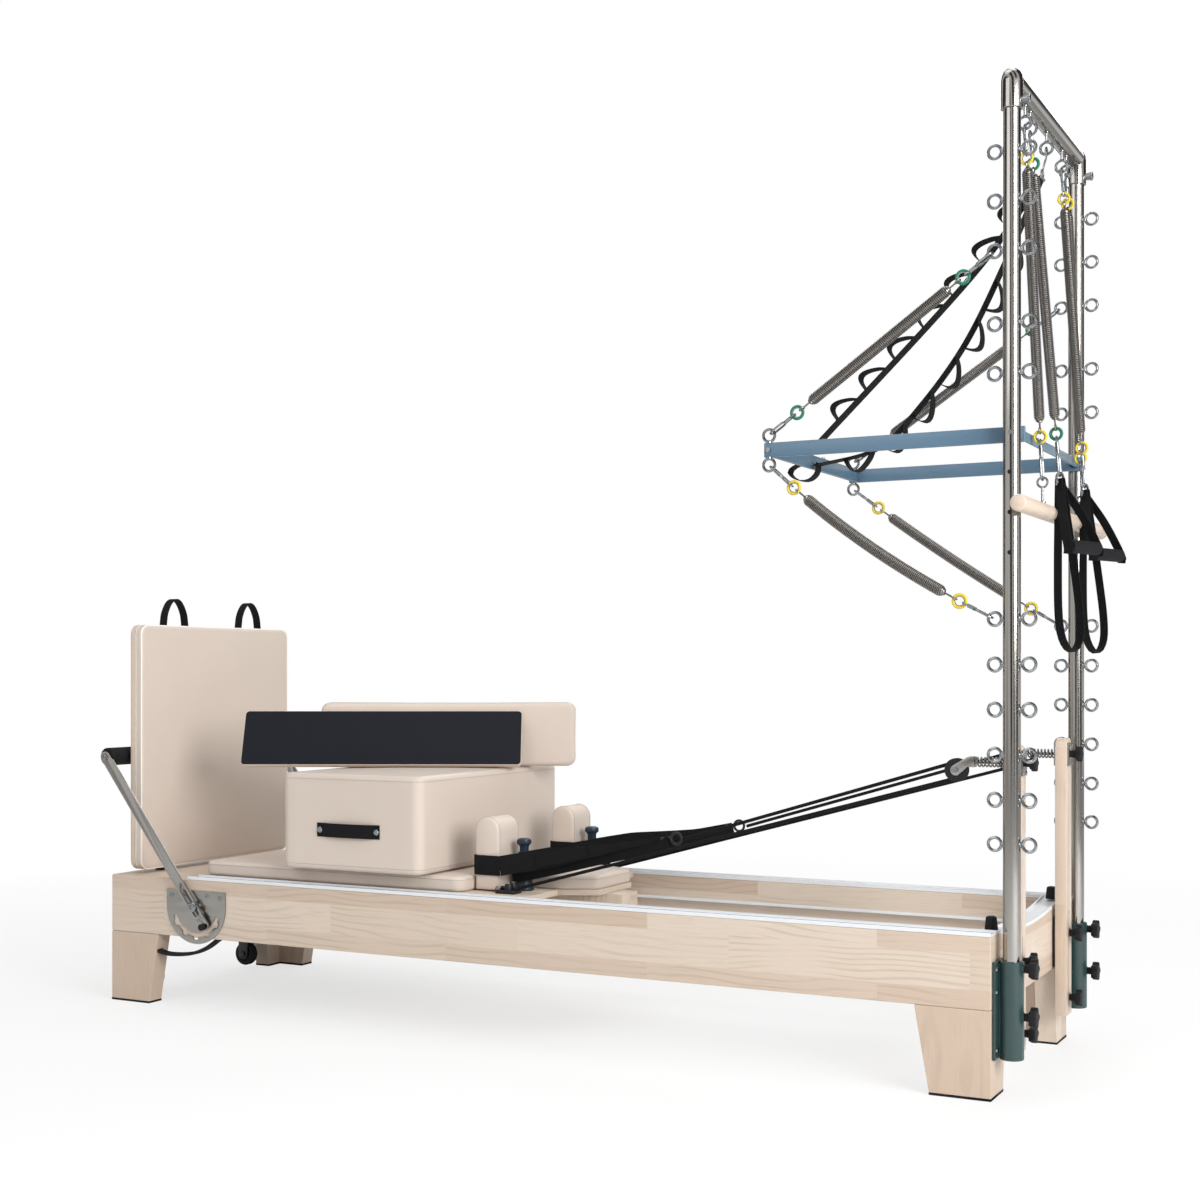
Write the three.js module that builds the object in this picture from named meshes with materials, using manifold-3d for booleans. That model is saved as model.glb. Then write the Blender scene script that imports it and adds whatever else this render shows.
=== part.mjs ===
// Pilates tower unit: a sliding-carriage bed with a sprung tower at its head end.
// Millimetres, +Z up. X runs from the foot end to the tower, Y crosses the bed, the near side is negative.
import * as THREE from "three";
import { mergeVertices } from "three/addons/utils/BufferGeometryUtils.js";
import Module from "manifold-3d";

const wasm = await Module();
wasm.setup();

// Gap that two touching pieces keep
const gap = 0.3;
// Overrun of one solid into another that it is joined to, or of a cutter past a face
const bite = 1;
// Slivers that joining and cutting leave are closed up to this size
const sliver = 0.05;

// Bed frame
const bed = {
  length: 2476,
  width: 734,
  railTop: 350,
  railDepth: 157,
  board: 50,
};
const leg = {
  sideTop: 168,
  sideFoot: 134,
  endTop: 130,
  endFoot: 105,
};
const track = {
  capHeight: 4,
  lip: 4,
  lipHeight: 4.5,
  web: 3,
  ledgeDrop: 57,
  ledgeThick: 3,
  ledgeReach: 32,
};
const headDip = 20;
const platform = {
  length: 270,
  thick: 18,
};
const capStop = 2;

// Transport wheels under the foot crosspiece
const wheel = {
  diameter: 70,
  width: 24,
  bevel: 4,
  bore: 5.5,
  axle: 5,
  height: 45,
  inFromEnd: 6,
  offset: 208,
  cheek: 4,
  cheekReach: 18,
  sideClearance: 1.5,
};

// Carriage
const carriage = {
  fromFoot: 281,
  pastPad: 185,
  halfWidth: 311,
  thick: 15,
  sunk: 8,
  corner: 18,
  padLength: 833,
  padHeight: 39,
  padCrown: 2,
  padCorner: 30,
  padEdge: 10,
  tongueHalf: 45,
  tongueDepth: 41,
  tongueBeforePad: 138,
  tonguePastPad: 322,
  rollerRadius: 20,
  rollerWidth: 22,
  rollerInset: 3,
  rollerFromEnd: 80,
};
const headrest = {
  fromPad: 7,
  straight: 179,
  length: 273,
  halfWidth: 138,
  headHalf: 92,
  plate: 15,
  padHeight: 36,
  padCrown: 3,
  edge: 9,
  clearance: 2.5,
};
const shoulder = {
  fromPad: 6,
  depth: 69,
  width: 108,
  height: 188,
  centreY: 199,
  crown: 3,
  edge: 8,
};
const spool = {
  fromPad: 112,
  y: 186,
  base: 26,
  neck: 20,
  baseHeight: 35,
  stem: 12.5,
  top: 19,
  topHeight: 133,
  flange: 8,
};
const cleat = {
  fromPad: 137,
  length: 56,
  width: 40,
  y: 260,
  height: 28,
};
const carriageSpring = {
  count: 5,
  pitch: 80,
  radius: 11,
  z: 312,
  barFromFoot: 260,
  barThick: 24,
  barHeight: 30,
  hookBeforePad: 198,
  hookThick: 20,
  hookDrop: 46,
};

// Loose pieces on the carriage
const seatBox = {
  beforePad: 90,
  length: 439,
  halfWidth: 360,
  top: 650,
  crown: 3,
  edge: 14,
  corner: 28,
  drawIn: 4,
};
const standing = {
  turn: 27.5,
  boardBack: 80,
  boardY: -103.5,
  boardLength: 769,
  boardHeight: 165,
  boardThick: 17,
  lean: 28,
  slabLength: 710,
  slabHeight: 176,
  slabThick: 60,
  slabAlong: 177,
  slabCrown: 4,
  slabEdge: 11,
  slabCorner: 24,
};
const jumpBoard = {
  fromFoot: 31,
  ply: 15,
  pad: 27,
  crown: 3,
  halfWidth: 327,
  bottom: 360,
  top: 1048,
  corner: 28,
  edge: 9,
  loopInner: 108,
  loopOuter: 222,
  loopHeight: 77,
  loopWidth: 25,
  loopThick: 3,
  footWidth: 60,
  footY: 200,
};

// Footbar
const footbar = {
  fromFoot: 304,
  pivotZ: 279,
  lean: 38.2,
  reach: 508,
  tail: 77,
  armWidth: 32,
  armThick: 6,
  plateClearance: 7,
  shaft: 8,
  shaftPlay: 0.6,
  shaftHead: 14,
  shaftHeadThick: 6,
  slotBelow: 22,
  slotAbove: 60,
  core: 12,
  grip: 25,
  knob: 9,
  knobLength: 16,
  knobUp: 12,
};
const notchedPlate = {
  thick: 3.5,
  radius: 102,
  above: 43,
  slotRadius: 77,
  slotHalf: 6,
  notches: 5,
  notchRadius: 8,
  slotFrom: 200,
  slotTo: 340,
};

// Tower
const tower = {
  postX: 34,
  postY: 322,
  diameter: 38,
  wall: 2,
  facets: 14,
  bottom: 90,
  top: 2150,
  holeRadius: 5,
};
// Pivot, holes and eyes as shares of the way up the post
const pivotShare = 0.649029;
const holeShares = [0.607767, 0.566019, 0.524272];
const eyeShares = [
  0.943204, 0.891748, 0.839806, 0.763592, 0.71165, 0.455825, 0.408252, 0.361165, 0.314078, 0.26699, 0.220874,
];
const eye = {
  ring: 13.5,
  wire: 2.75,
  reach: 37,
  stem: 3,
};
const socket = {
  bottom: 86,
  top: 296,
  wall: 6.5,
  play: 0.3,
  floor: 3.7,
  plate: 8,
  plateHalf: 36,
  webHalf: 14,
  knobLow: 178,
  knobHigh: 281,
};
const knob = {
  stem: 5,
  standOff: 16,
  radius: 23,
  waistShare: 0.78,
  lobes: 5,
  thick: 16,
};
const rail = {
  radius: 22,
  capRadius: 24,
  capSkirt: 30,
  rise: 33,
  innerEyeY: 159,
  outerEyeY: 206,
  eyeDrop: 59,
  boltDrop: 48,
  boltRadius: 6,
  boltLength: 46,
};
const riser = {
  standOff: 7.8,
  thick: 28,
  innerY: 204,
  width: 57,
  bottom: 83,
  top: 755,
  slotHalf: 6,
  slotBottom: 105,
  slotTop: 335,
  guideLow: 200,
  guideHeight: 120,
  knobLow: 125,
  knobHigh: 282,
  plateHeight: 56,
  plateThick: 4.5,
  plateHalf: 21,
  topKnobZ: 716,
};
const pulley = {
  x: -111,
  y: 232.3,
  z: 697,
  ropeRadius: 18,
  flangeRadius: 23,
  halfWidth: 8,
  halfGroove: 5.2,
  ropeClearance: 1,
  bore: 4.6,
  axle: 4,
  cheekGap: 1.4,
  cheek: 2.5,
  yokeFromAxle: 29,
  yokeLength: 13,
  yokeRise: 19,
  rod: 4,
  springRadius: 12,
  springWire: 2,
  springTurns: 4,
};
const rope = {
  radius: 4.3,
  ringFromPad: 550,
  ringY: 197,
  ringZ: 509,
  cleatRise: 14,
  cleatGap: 2,
};
const loop = {
  width: 50,
  thick: 3,
  ringOuter: 22,
  ringWire: 4,
  restZ: 424,
  cornerCut: 9,
};
const pushBar = {
  footX: -545,
  headX: 56,
  innerY: 290,
  armThick: 10,
  armHeight: 34,
  endBarX: -525,
  endBarThick: 10,
  rearBarX: 50,
  rearBarThick: 8,
  eyeX: -534,
  eyeRise: 34,
  pin: 4.5,
  collar: 10,
  collarThick: 3,
};
const armSpring = {
  coil: 8.5,
  wire: 3,
  turns: 4,
  ringFromEye: 85,
  bodyFromEye: 121,
  ring: 11,
  ringWire: 3,
  link: 3,
  nearSag: 24,
  farSag: 10,
};
const hangSpring = {
  ringFromEye: 79,
  bodyFromEye: 100,
  lowerRingFromEye: 100,
  lowerBodyFromEye: 131,
};
const rollBar = {
  x: 73,
  z: 1267,
  radius: 18,
  half: 430,
  eyeY: 209,
  eyeZ: 1330,
};
const handle = {
  x: 94,
  y: 132,
  apexZ: 1345,
  gripZ: 1190,
  gripHalf: 62,
  gripRadius: 15,
  gripOut: 52,
  strap: 3,
  strapWidth: 22,
  bow: 6,
  loopBottom: 960,
  loopHalf: 34,
  loopOut: 26,
  turn: 70,
  loopTurn: 60,
};
const ladder = {
  y: -42,
  width: 38,
  thick: 3,
  clipDrop: 78,
  loopLength: 70,
  loopRise: 34,
  loopPitch: 105,
  loopStart: 110,
};

// Worked-out places
const bedHalf = bed.width / 2;
const innerHalf = bedHalf - bed.board;
const railBottom = bed.railTop - bed.railDepth;
const deckBottom = bed.railTop - carriage.sunk;
const deckTop = deckBottom + carriage.thick;
const footX = -bed.length;
const carriageX = footX + carriage.fromFoot;
const padEnd = carriageX + carriage.padLength;
const baseEnd = padEnd + carriage.pastPad;
const tongueFoot = padEnd - carriage.tongueBeforePad;
const tongueHead = padEnd + carriage.tonguePastPad;
const headrestX = padEnd + headrest.fromPad;
const shoulderX = padEnd + shoulder.fromPad;
const spoolX = padEnd + spool.fromPad;
const cleatX = padEnd + cleat.fromPad;
const hookBarX = padEnd - carriageSpring.hookBeforePad;
const springBarX = footX + carriageSpring.barFromFoot;
const seatBoxX = padEnd - seatBox.beforePad - seatBox.length;
const jumpBoardX = footX + jumpBoard.fromFoot;
const pivotX = footX + footbar.fromFoot;
const ropeRingX = padEnd + rope.ringFromPad;
const upPost = (share) => tower.bottom + (tower.top - tower.bottom) * share;
const pivotHeight = upPost(pivotShare);
const holeHeights = holeShares.map(upPost);
const eyeHeights = eyeShares.map(upPost);
const railZ = tower.top + rail.rise;
const railEyeZ = railZ - rail.eyeDrop;
const capStart = footX + platform.length + capStop;
const padBottom = deckTop + gap;
const padTop = padBottom + carriage.padHeight + carriage.padCrown;
const seatBottom = padTop + gap;
const seatTop = seatBox.top + seatBox.crown;
const plateOuter = bedHalf + gap + notchedPlate.thick;
const armInner = plateOuter + footbar.plateClearance;
const armOuter = armInner + footbar.armThick;

const rad = THREE.MathUtils.degToRad;

// Materials
const finish = (color, roughness, metalness) =>
  new THREE.MeshStandardMaterial({ color, roughness, metalness });
const beech = finish("#e3cdb2", 0.55, 0);
const leather = finish("#d9c8b4", 0.5, 0);
const cap = finish("#dfe1e2", 0.35, 0.6);
const polished = finish("#c9cbcc", 0.15, 1);
const steel = finish("#a9adb0", 0.35, 1);
const green = finish("#2f4a48", 0.45, 0.2);
const blue = finish("#5f7f8f", 0.4, 0.3);
const black = finish("#1b1c1e", 0.7, 0);
const webbing = finish("#17181a", 0.9, 0);
const slate = finish("#33424f", 0.4, 0.1);

// A closed mesh as a solid, its faces turned to point out
function solid(geometry) {
  const bare = geometry.clone();
  bare.deleteAttribute("normal");
  bare.deleteAttribute("uv");
  const merged = mergeVertices(bare);
  const corners = merged.index.array;
  const faces = [];
  for (let i = 0; i < corners.length; i += 3) {
    const [a, b, c] = [corners[i], corners[i + 1], corners[i + 2]];
    if (a !== b && b !== c && c !== a) faces.push([a, b, c]);
  }
  const vertProperties = new Float32Array(merged.attributes.position.array);
  const made = (list) =>
    new wasm.Manifold(new wasm.Mesh({ numProp: 3, vertProperties, triVerts: new Uint32Array(list.flat()) }));
  const first = made(faces);
  return first.volume() < 0 ? made(faces.map(([a, b, c]) => [a, c, b])) : first;
}

const join = (...pieces) => pieces.map(asSolid).reduce((whole, piece) => whole.add(piece));
const cut = (body, ...cutters) =>
  cutters.map(asSolid).reduce((whole, cutter) => whole.subtract(cutter), asSolid(body));

function asSolid(shape) {
  return shape.isBufferGeometry ? solid(shape) : shape;
}

function piece(name, material, shape) {
  const { vertProperties, triVerts } = asSolid(shape).simplify(sliver).getMesh();
  const geometry = new THREE.BufferGeometry();
  geometry.setAttribute("position", new THREE.BufferAttribute(vertProperties, 3));
  geometry.setIndex(new THREE.BufferAttribute(triVerts, 1));
  geometry.computeVertexNormals();
  const mesh = new THREE.Mesh(geometry, material);
  mesh.name = name;
  return mesh;
}

// A pair of mirrored pieces, near and far, from the near one's shape
function pair(name, material, shape) {
  const near = piece(`${name}_near`, material, shape);
  const far = new THREE.Mesh(near.geometry, material);
  far.name = `${name}_far`;
  far.scale.y = -1;
  return [near, far];
}

function group(...meshes) {
  const made = new THREE.Group();
  made.add(...meshes.flat());
  return made;
}

function box(x0, x1, y0, y1, z0, z1) {
  const block = new THREE.BoxGeometry(x1 - x0, y1 - y0, z1 - z0);
  return block.translate((x0 + x1) / 2, (y0 + y1) / 2, (z0 + z1) / 2);
}

const vector = (x, y, z) => new THREE.Vector3(x, y, z);

// A round bar from one point to another
function rod(from, to, radius, sides = 8) {
  const along = to.clone().sub(from);
  const bar = new THREE.CylinderGeometry(radius, radius, along.length(), sides);
  const turn = new THREE.Quaternion().setFromUnitVectors(vector(0, 1, 0), along.clone().normalize());
  const middle = from.clone().add(to).divideScalar(2);
  return bar.applyQuaternion(turn).translate(middle.x, middle.y, middle.z);
}

function outline(points) {
  return new THREE.Shape(points.map(([x, y]) => new THREE.Vector2(x, y)));
}

const plain = (depth, curveSegments = 6) => ({ depth, bevelEnabled: false, curveSegments });

// An outline in XZ pushed along Y, in YZ along X, and in XY along Z
function prismY(shape, y0, y1, steps) {
  return new THREE.ExtrudeGeometry(shape, plain(y1 - y0, steps)).rotateX(Math.PI / 2).translate(0, y1, 0);
}

function prismX(shape, x0, x1, steps) {
  return standX(new THREE.ExtrudeGeometry(shape, plain(x1 - x0, steps))).translate(x0, 0, 0);
}

function prismZ(shape, z0, z1, steps) {
  return new THREE.ExtrudeGeometry(shape, plain(z1 - z0, steps)).translate(0, 0, z0);
}

// Turns a shape's own x, y and z to Y, Z and X
function standX(geometry) {
  return geometry.rotateX(Math.PI / 2).rotateZ(Math.PI / 2);
}

function lathe(profile, sides) {
  const points = profile.map(([radius, height]) => new THREE.Vector2(radius, height));
  return new THREE.LatheGeometry(points, sides).rotateX(Math.PI / 2);
}

// A tube or ribbon: a section carried along points, its ends closed
function sweep(points, section, widthway) {
  const rings = [];
  let side = widthway ? widthway.clone() : null;
  points.forEach((point, i) => {
    const before = points[Math.max(i - 1, 0)];
    const after = points[Math.min(i + 1, points.length - 1)];
    const ahead = after.clone().sub(before).normalize();
    if (!side) side = Math.abs(ahead.z) < Math.SQRT1_2 ? vector(0, 0, 1) : vector(1, 0, 0);
    side = side.clone().addScaledVector(ahead, -side.dot(ahead)).normalize();
    const across = ahead.clone().cross(side);
    rings.push(section.map(([a, b]) => point.clone().addScaledVector(across, a).addScaledVector(side, b)));
  });
  return loft(rings);
}

const round = (radius, sides) =>
  Array.from({ length: sides }, (_, i) => {
    const angle = (i / sides) * 2 * Math.PI;
    return [radius * Math.cos(angle), radius * Math.sin(angle)];
  });

const strip = (thick, width) => [
  [-thick / 2, -width / 2],
  [thick / 2, -width / 2],
  [thick / 2, width / 2],
  [-thick / 2, width / 2],
];

// Skin over rings of equal count, each end closed by a fan about its middle
function loft(rings) {
  const count = rings[0].length;
  const middle = (ring) => ring.reduce((sum, point) => sum.add(point), vector(0, 0, 0)).divideScalar(count);
  const points = [...rings.flat(), middle(rings[0]), middle(rings.at(-1))];
  const last = (rings.length - 1) * count;
  const faces = [];
  for (let i = 0; i < count; i += 1) {
    const next = (i + 1) % count;
    for (let at = 0; at < last; at += count) {
      faces.push(at + i, at + next, at + count + i, at + next, at + count + next, at + count + i);
    }
    faces.push(points.length - 2, next, i, points.length - 1, last + i, last + next);
  }
  const skin = new THREE.BufferGeometry().setFromPoints(points);
  return skin.setIndex(faces);
}

function torus(centre, radius, wire, axis, around = 8, sides = 3) {
  const ring = new THREE.TorusGeometry(radius, wire, sides, around);
  const turn = new THREE.Quaternion().setFromUnitVectors(vector(0, 0, 1), axis);
  return ring.applyQuaternion(turn).translate(centre.x, centre.y, centre.z);
}

// Plan of a padded piece: rounded corners, its long sides drawn in by a little between them
const cornerSteps = 3;
const sideShares = [1 / 3, 2 / 3];
function roundedPlan(halfX, halfY, corner, drawIn) {
  const radius = Math.min(corner, halfX, halfY);
  const centres = [
    [halfX - radius, halfY - radius],
    [radius - halfX, halfY - radius],
    [radius - halfX, radius - halfY],
    [halfX - radius, radius - halfY],
  ];
  const plan = [];
  centres.forEach(([cx, cy], k) => {
    for (let i = 0; i <= cornerSteps; i += 1) {
      const angle = ((k + i / cornerSteps) * Math.PI) / 2;
      plan.push([cx + radius * Math.cos(angle), cy + radius * Math.sin(angle)]);
    }
    const [x0, y0] = plan.at(-1);
    const [nx, ny] = centres[(k + 1) % centres.length];
    const turned = ((k + 1) * Math.PI) / 2;
    const [x1, y1] = [nx + radius * Math.cos(turned), ny + radius * Math.sin(turned)];
    sideShares.forEach((share) => {
      const [px, py] = [x0 + (x1 - x0) * share, y0 + (y1 - y0) * share];
      plan.push([px - drawIn * Math.cos(turned), py - drawIn * Math.sin(turned)]);
    });
  });
  return plan;
}

// A cushion standing on z = 0: soft edges, drawn-in sides and a crowned top
const crownShares = [0.3, 0.65];
function cushion({ halfX, halfY, height, corner, edge, crown, drawIn = 0 }) {
  const ring = (inset, z, pull = 0) =>
    roundedPlan(halfX - inset, halfY - inset, Math.max(corner - inset, edge / 2), pull).map(([x, y]) =>
      vector(x, y, z),
    );
  const crownRings = crownShares.map((share) => {
    const plan = roundedPlan(halfX - edge, halfY - edge, corner, 0);
    const z = height + crown * (1 - (1 - share) ** 2);
    return plan.map(([x, y]) => vector(x * (1 - share), y * (1 - share), z));
  });
  const half = edge * (1 - Math.SQRT1_2);
  const rings = [
    ring(edge, 0),
    ring(0, edge),
    ring(0, height / 2, drawIn),
    ring(0, height - edge),
    ring(half, height - half),
    ring(edge, height),
    ...crownRings,
  ];
  return loft(rings);
}

// An arm along u from the pivot, with round ends and its long slot
function stadium(from, to, radius, Kind = THREE.Shape) {
  const shape = new Kind();
  shape.absarc(0, to, radius, 0, Math.PI, false);
  shape.absarc(0, from, radius, Math.PI, 2 * Math.PI, false);
  return shape;
}

// Bed frame pieces
function sideRails() {
  const hole = rod(
    vector(pivotX, -bedHalf - bite, footbar.pivotZ),
    vector(pivotX, -innerHalf + bite, footbar.pivotZ),
    footbar.shaft + footbar.shaftPlay,
    12,
  );
  const board = box(footX, 0, -bedHalf, -innerHalf, railBottom, bed.railTop);
  return pair("side_rail", beech, cut(board, hole));
}

function tracks() {
  const outer = -bedHalf;
  const inner = -innerHalf;
  const low = bed.railTop + gap;
  const flat = low + track.capHeight;
  const lipTop = flat + track.lipHeight;
  const channel = [
    [outer, low],
    [inner, low],
    [inner, lipTop],
    [inner - track.lip, lipTop],
    [inner - track.lip, flat],
    [outer + track.lip, flat],
    [outer + track.lip, lipTop],
    [outer, lipTop],
  ];
  const face = inner + gap;
  const ledge = bed.railTop - track.ledgeDrop;
  const runner = [
    [face, ledge - track.ledgeThick],
    [face + track.ledgeReach, ledge - track.ledgeThick],
    [face + track.ledgeReach, ledge],
    [face + track.web, ledge],
    [face + track.web, lipTop],
    [inner - bite, lipTop],
    [inner - bite, low],
    [face, low],
  ];
  return pair(
    "track",
    cap,
    join(
      prismX(outline(channel), capStart, 0),
      prismX(outline(runner), capStart, -bed.board - gap),
    ),
  );
}

function headCrosspiece() {
  const half = innerHalf - gap;
  const top = bed.railTop + track.capHeight + track.lipHeight;
  const shape = new THREE.Shape();
  shape.moveTo(-half, railBottom);
  shape.lineTo(half, railBottom);
  shape.lineTo(half, top);
  shape.quadraticCurveTo(0, top - 2 * headDip, -half, top);
  return piece("head_crosspiece", beech, prismX(shape, -bed.board, 0, 10));
}

function footCrosspiece() {
  const half = innerHalf - gap;
  const under = bed.railTop - platform.thick - gap;
  const parts = [box(footX, footX + bed.board, -half, half, railBottom, under)];
  const axleX = footX + wheel.inFromEnd;
  const inside = wheel.width / 2 + wheel.sideClearance;
  for (const side of [-1, 1]) {
    const y = side * wheel.offset;
    for (const face of [-inside - wheel.cheek, inside]) {
      parts.push(
        box(
          axleX - wheel.cheekReach,
          axleX + wheel.cheekReach,
          y + face,
          y + face + wheel.cheek,
          wheel.height - wheel.cheekReach,
          railBottom + bite,
        ),
      );
    }
    const end = inside + wheel.cheek;
    parts.push(rod(vector(axleX, y - end, wheel.height), vector(axleX, y + end, wheel.height), wheel.axle));
  }
  return piece("foot_crosspiece", beech, join(...parts));
}

function footPlatform() {
  const half = innerHalf - gap;
  const shape = box(footX, footX + platform.length, -half, half, bed.railTop - platform.thick, bed.railTop);
  return piece("foot_platform", beech, shape);
}

function transportWheels() {
  const radius = wheel.diameter / 2;
  const half = wheel.width / 2;
  const { bevel } = wheel;
  const profile = [
    [wheel.bore, -half],
    [radius - bevel, -half],
    [radius, bevel - half],
    [radius, half - bevel],
    [radius - bevel, half],
    [wheel.bore, half],
    [wheel.bore, -half],
  ];
  const tyre = lathe(profile, 14).rotateX(Math.PI / 2);
  tyre.translate(footX + wheel.inFromEnd, -wheel.offset, wheel.height);
  return pair("transport_wheel", black, tyre);
}

function legs() {
  const height = railBottom - gap;
  const side = outline([
    [0, 0],
    [0, height],
    [-leg.sideTop, height],
    [-leg.sideFoot, 0],
  ]);
  const end = outline([
    [-bedHalf, 0],
    [leg.endFoot - bedHalf, 0],
    [leg.endTop - bedHalf, height],
    [-bedHalf, height],
  ]);
  const shape = join(prismY(side, -bedHalf, -innerHalf), prismX(end, -bed.board, 0));
  const head = pair("head_leg", beech, shape);
  const foot = pair("foot_leg", beech, shape);
  foot.forEach((mesh) => {
    mesh.scale.x = -1;
    mesh.position.x = footX;
  });
  return [...head, ...foot];
}

// Carriage pieces
function carriageBase() {
  const { halfWidth: w, corner: c } = carriage;
  const [x0, x1] = [carriageX, baseEnd];
  const notchX = headrestX - headrest.clearance;
  const notchY = headrest.halfWidth + headrest.clearance;
  const plan = new THREE.Shape();
  plan.moveTo(x0 + c, -w);
  plan.absarc(x1 - c, c - w, c, -Math.PI / 2, 0, false);
  plan.lineTo(x1, -notchY);
  plan.lineTo(notchX, -notchY);
  plan.lineTo(notchX, notchY);
  plan.lineTo(x1, notchY);
  plan.absarc(x1 - c, w - c, c, 0, Math.PI / 2, false);
  plan.absarc(x0 + c, w - c, c, Math.PI / 2, Math.PI, false);
  plan.absarc(x0 + c, c - w, c, Math.PI, 1.5 * Math.PI, false);
  const parts = [prismZ(plan, deckBottom, deckTop, 2)];
  const low = deckBottom - carriage.tongueDepth;
  const tongueTop = deckBottom - gap;
  const half = carriage.tongueHalf;
  parts.push(box(tongueFoot, tongueHead, -half, half, low, tongueTop));
  parts.push(box(tongueFoot, notchX, -half, half, low, deckBottom + bite));
  const hookHalf = (carriageSpring.count / 2) * carriageSpring.pitch;
  const hookX = hookBarX + gap;
  parts.push(
    box(
      hookX,
      hookX + carriageSpring.hookThick,
      -hookHalf,
      hookHalf,
      deckBottom - carriageSpring.hookDrop,
      deckBottom + bite,
    ),
  );
  const ledge = bed.railTop - track.ledgeDrop;
  const rollerZ = ledge + gap + carriage.rollerRadius;
  const outer = w - carriage.rollerInset;
  const inner = outer - carriage.rollerWidth;
  for (const x of [x0 + carriage.rollerFromEnd, x1 - carriage.rollerFromEnd]) {
    for (const side of [-1, 1]) {
      const ends = [side * inner, side * outer].sort((a, b) => a - b);
      parts.push(rod(vector(x, ends[0], rollerZ), vector(x, ends[1], rollerZ), carriage.rollerRadius, 10));
      const reach = carriage.rollerRadius / 2;
      parts.push(box(x - reach, x + reach, ends[0], ends[1], rollerZ, deckBottom + bite));
    }
  }
  for (const side of [-1, 1]) {
    const y = side * cleat.y;
    parts.push(
      box(
        cleatX - cleat.length,
        cleatX,
        y - cleat.width / 2,
        y + cleat.width / 2,
        deckTop - bite,
        deckTop + cleat.height,
      ),
    );
  }
  return piece("carriage_base", beech, join(...parts));
}

function carriagePad() {
  const pad = cushion({
    halfX: carriage.padLength / 2,
    halfY: carriage.halfWidth,
    height: carriage.padHeight,
    corner: carriage.padCorner,
    edge: carriage.padEdge,
    crown: carriage.padCrown,
  });
  pad.translate((carriageX + padEnd) / 2, 0, padBottom);
  return piece("carriage_pad", leather, pad);
}

function headrestPiece() {
  const { halfWidth: w, headHalf: n, edge } = headrest;
  const [x0, x1, x2] = [headrestX, headrestX + headrest.straight, headrestX + headrest.length];
  const plan = (inset) => [
    [x0 + inset, inset - w],
    [x1, inset - w],
    [x2 - inset, inset - n],
    [x2 - inset, n - inset],
    [x1, w - inset],
    [x0 + inset, w - inset],
  ];
  const plate = prismZ(outline(plan(0)), deckBottom, deckTop);
  const middle = (x0 + x2) / 2;
  const ring = (inset, z, share = 0) =>
    plan(inset).map(([x, y]) => vector(x + (middle - x) * share, y * (1 - share), z));
  const top = deckTop + headrest.padHeight;
  const pad = loft([
    ring(edge / 2, deckTop - bite),
    ring(0, deckTop + edge),
    ring(0, top - edge),
    ring(edge, top),
    ring(edge, top + headrest.padCrown, 1 / 2),
  ]);
  return piece("headrest", leather, join(plate, pad));
}

function shoulderRests() {
  const { depth, width, height, crown, edge } = shoulder;
  const half = depth / 2;
  const arch = (inset) => {
    const radius = half - inset;
    const points = [
      [-radius, inset],
      [radius, inset],
    ];
    for (let i = 0; i <= 6; i += 1) {
      const angle = (i / 6) * Math.PI;
      points.push([radius * Math.cos(angle), height - half + radius * Math.sin(angle)]);
    }
    return points;
  };
  const ring = (inset, y) => arch(inset).map(([x, z]) => vector(x, y, z));
  const shrink = (y, share) =>
    arch(edge).map(([x, z]) => vector(x * share, y, height / 2 + (z - height / 2) * share));
  const side = width / 2;
  const pad = loft([
    shrink(-side - crown, 1 / 2),
    ring(edge, -side),
    ring(0, edge - side),
    ring(0, side - edge),
    ring(edge, side),
    shrink(side + crown, 1 / 2),
  ]);
  pad.translate(shoulderX + half, -shoulder.centreY, deckTop + gap);
  return pair("shoulder_rest", leather, pad);
}

function spools() {
  const { base, neck, baseHeight, stem, top, topHeight, flange } = spool;
  const profile = [
    [0, 0],
    [base, 0],
    [neck, baseHeight],
    [stem, baseHeight + flange],
    [stem, topHeight - 2 * flange],
    [top, topHeight - flange],
    [top, topHeight - flange / 2],
    [stem, topHeight],
    [0, topHeight],
  ];
  const bollard = lathe(profile, 14).translate(spoolX, -spool.y, deckTop + gap);
  return pair("spool", slate, bollard);
}

// Springs under the carriage, hooked to a bar across the foot end
function carriageSprings() {
  const { barThick, barHeight, z, count, pitch, radius } = carriageSpring;
  const barX = springBarX;
  const half = innerHalf - gap;
  const parts = [box(barX - barThick, barX, -half, half, z - barHeight / 2, z + barHeight / 2)];
  for (let i = 0; i < count; i += 1) {
    const y = (i - (count - 1) / 2) * pitch;
    parts.push(rod(vector(barX - bite, y, z), vector(hookBarX, y, z), radius));
  }
  return piece("carriage_springs", steel, join(...parts));
}

// Loose pieces
function sittingBox() {
  const halfX = seatBox.length / 2;
  const body = cushion({
    halfX,
    halfY: seatBox.halfWidth,
    height: seatBox.top - seatBottom,
    corner: seatBox.corner,
    edge: seatBox.edge,
    crown: seatBox.crown,
    drawIn: seatBox.drawIn,
  });
  body.translate(seatBoxX + halfX, 0, seatBottom);
  return piece("sitting_box", leather, body);
}

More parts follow.
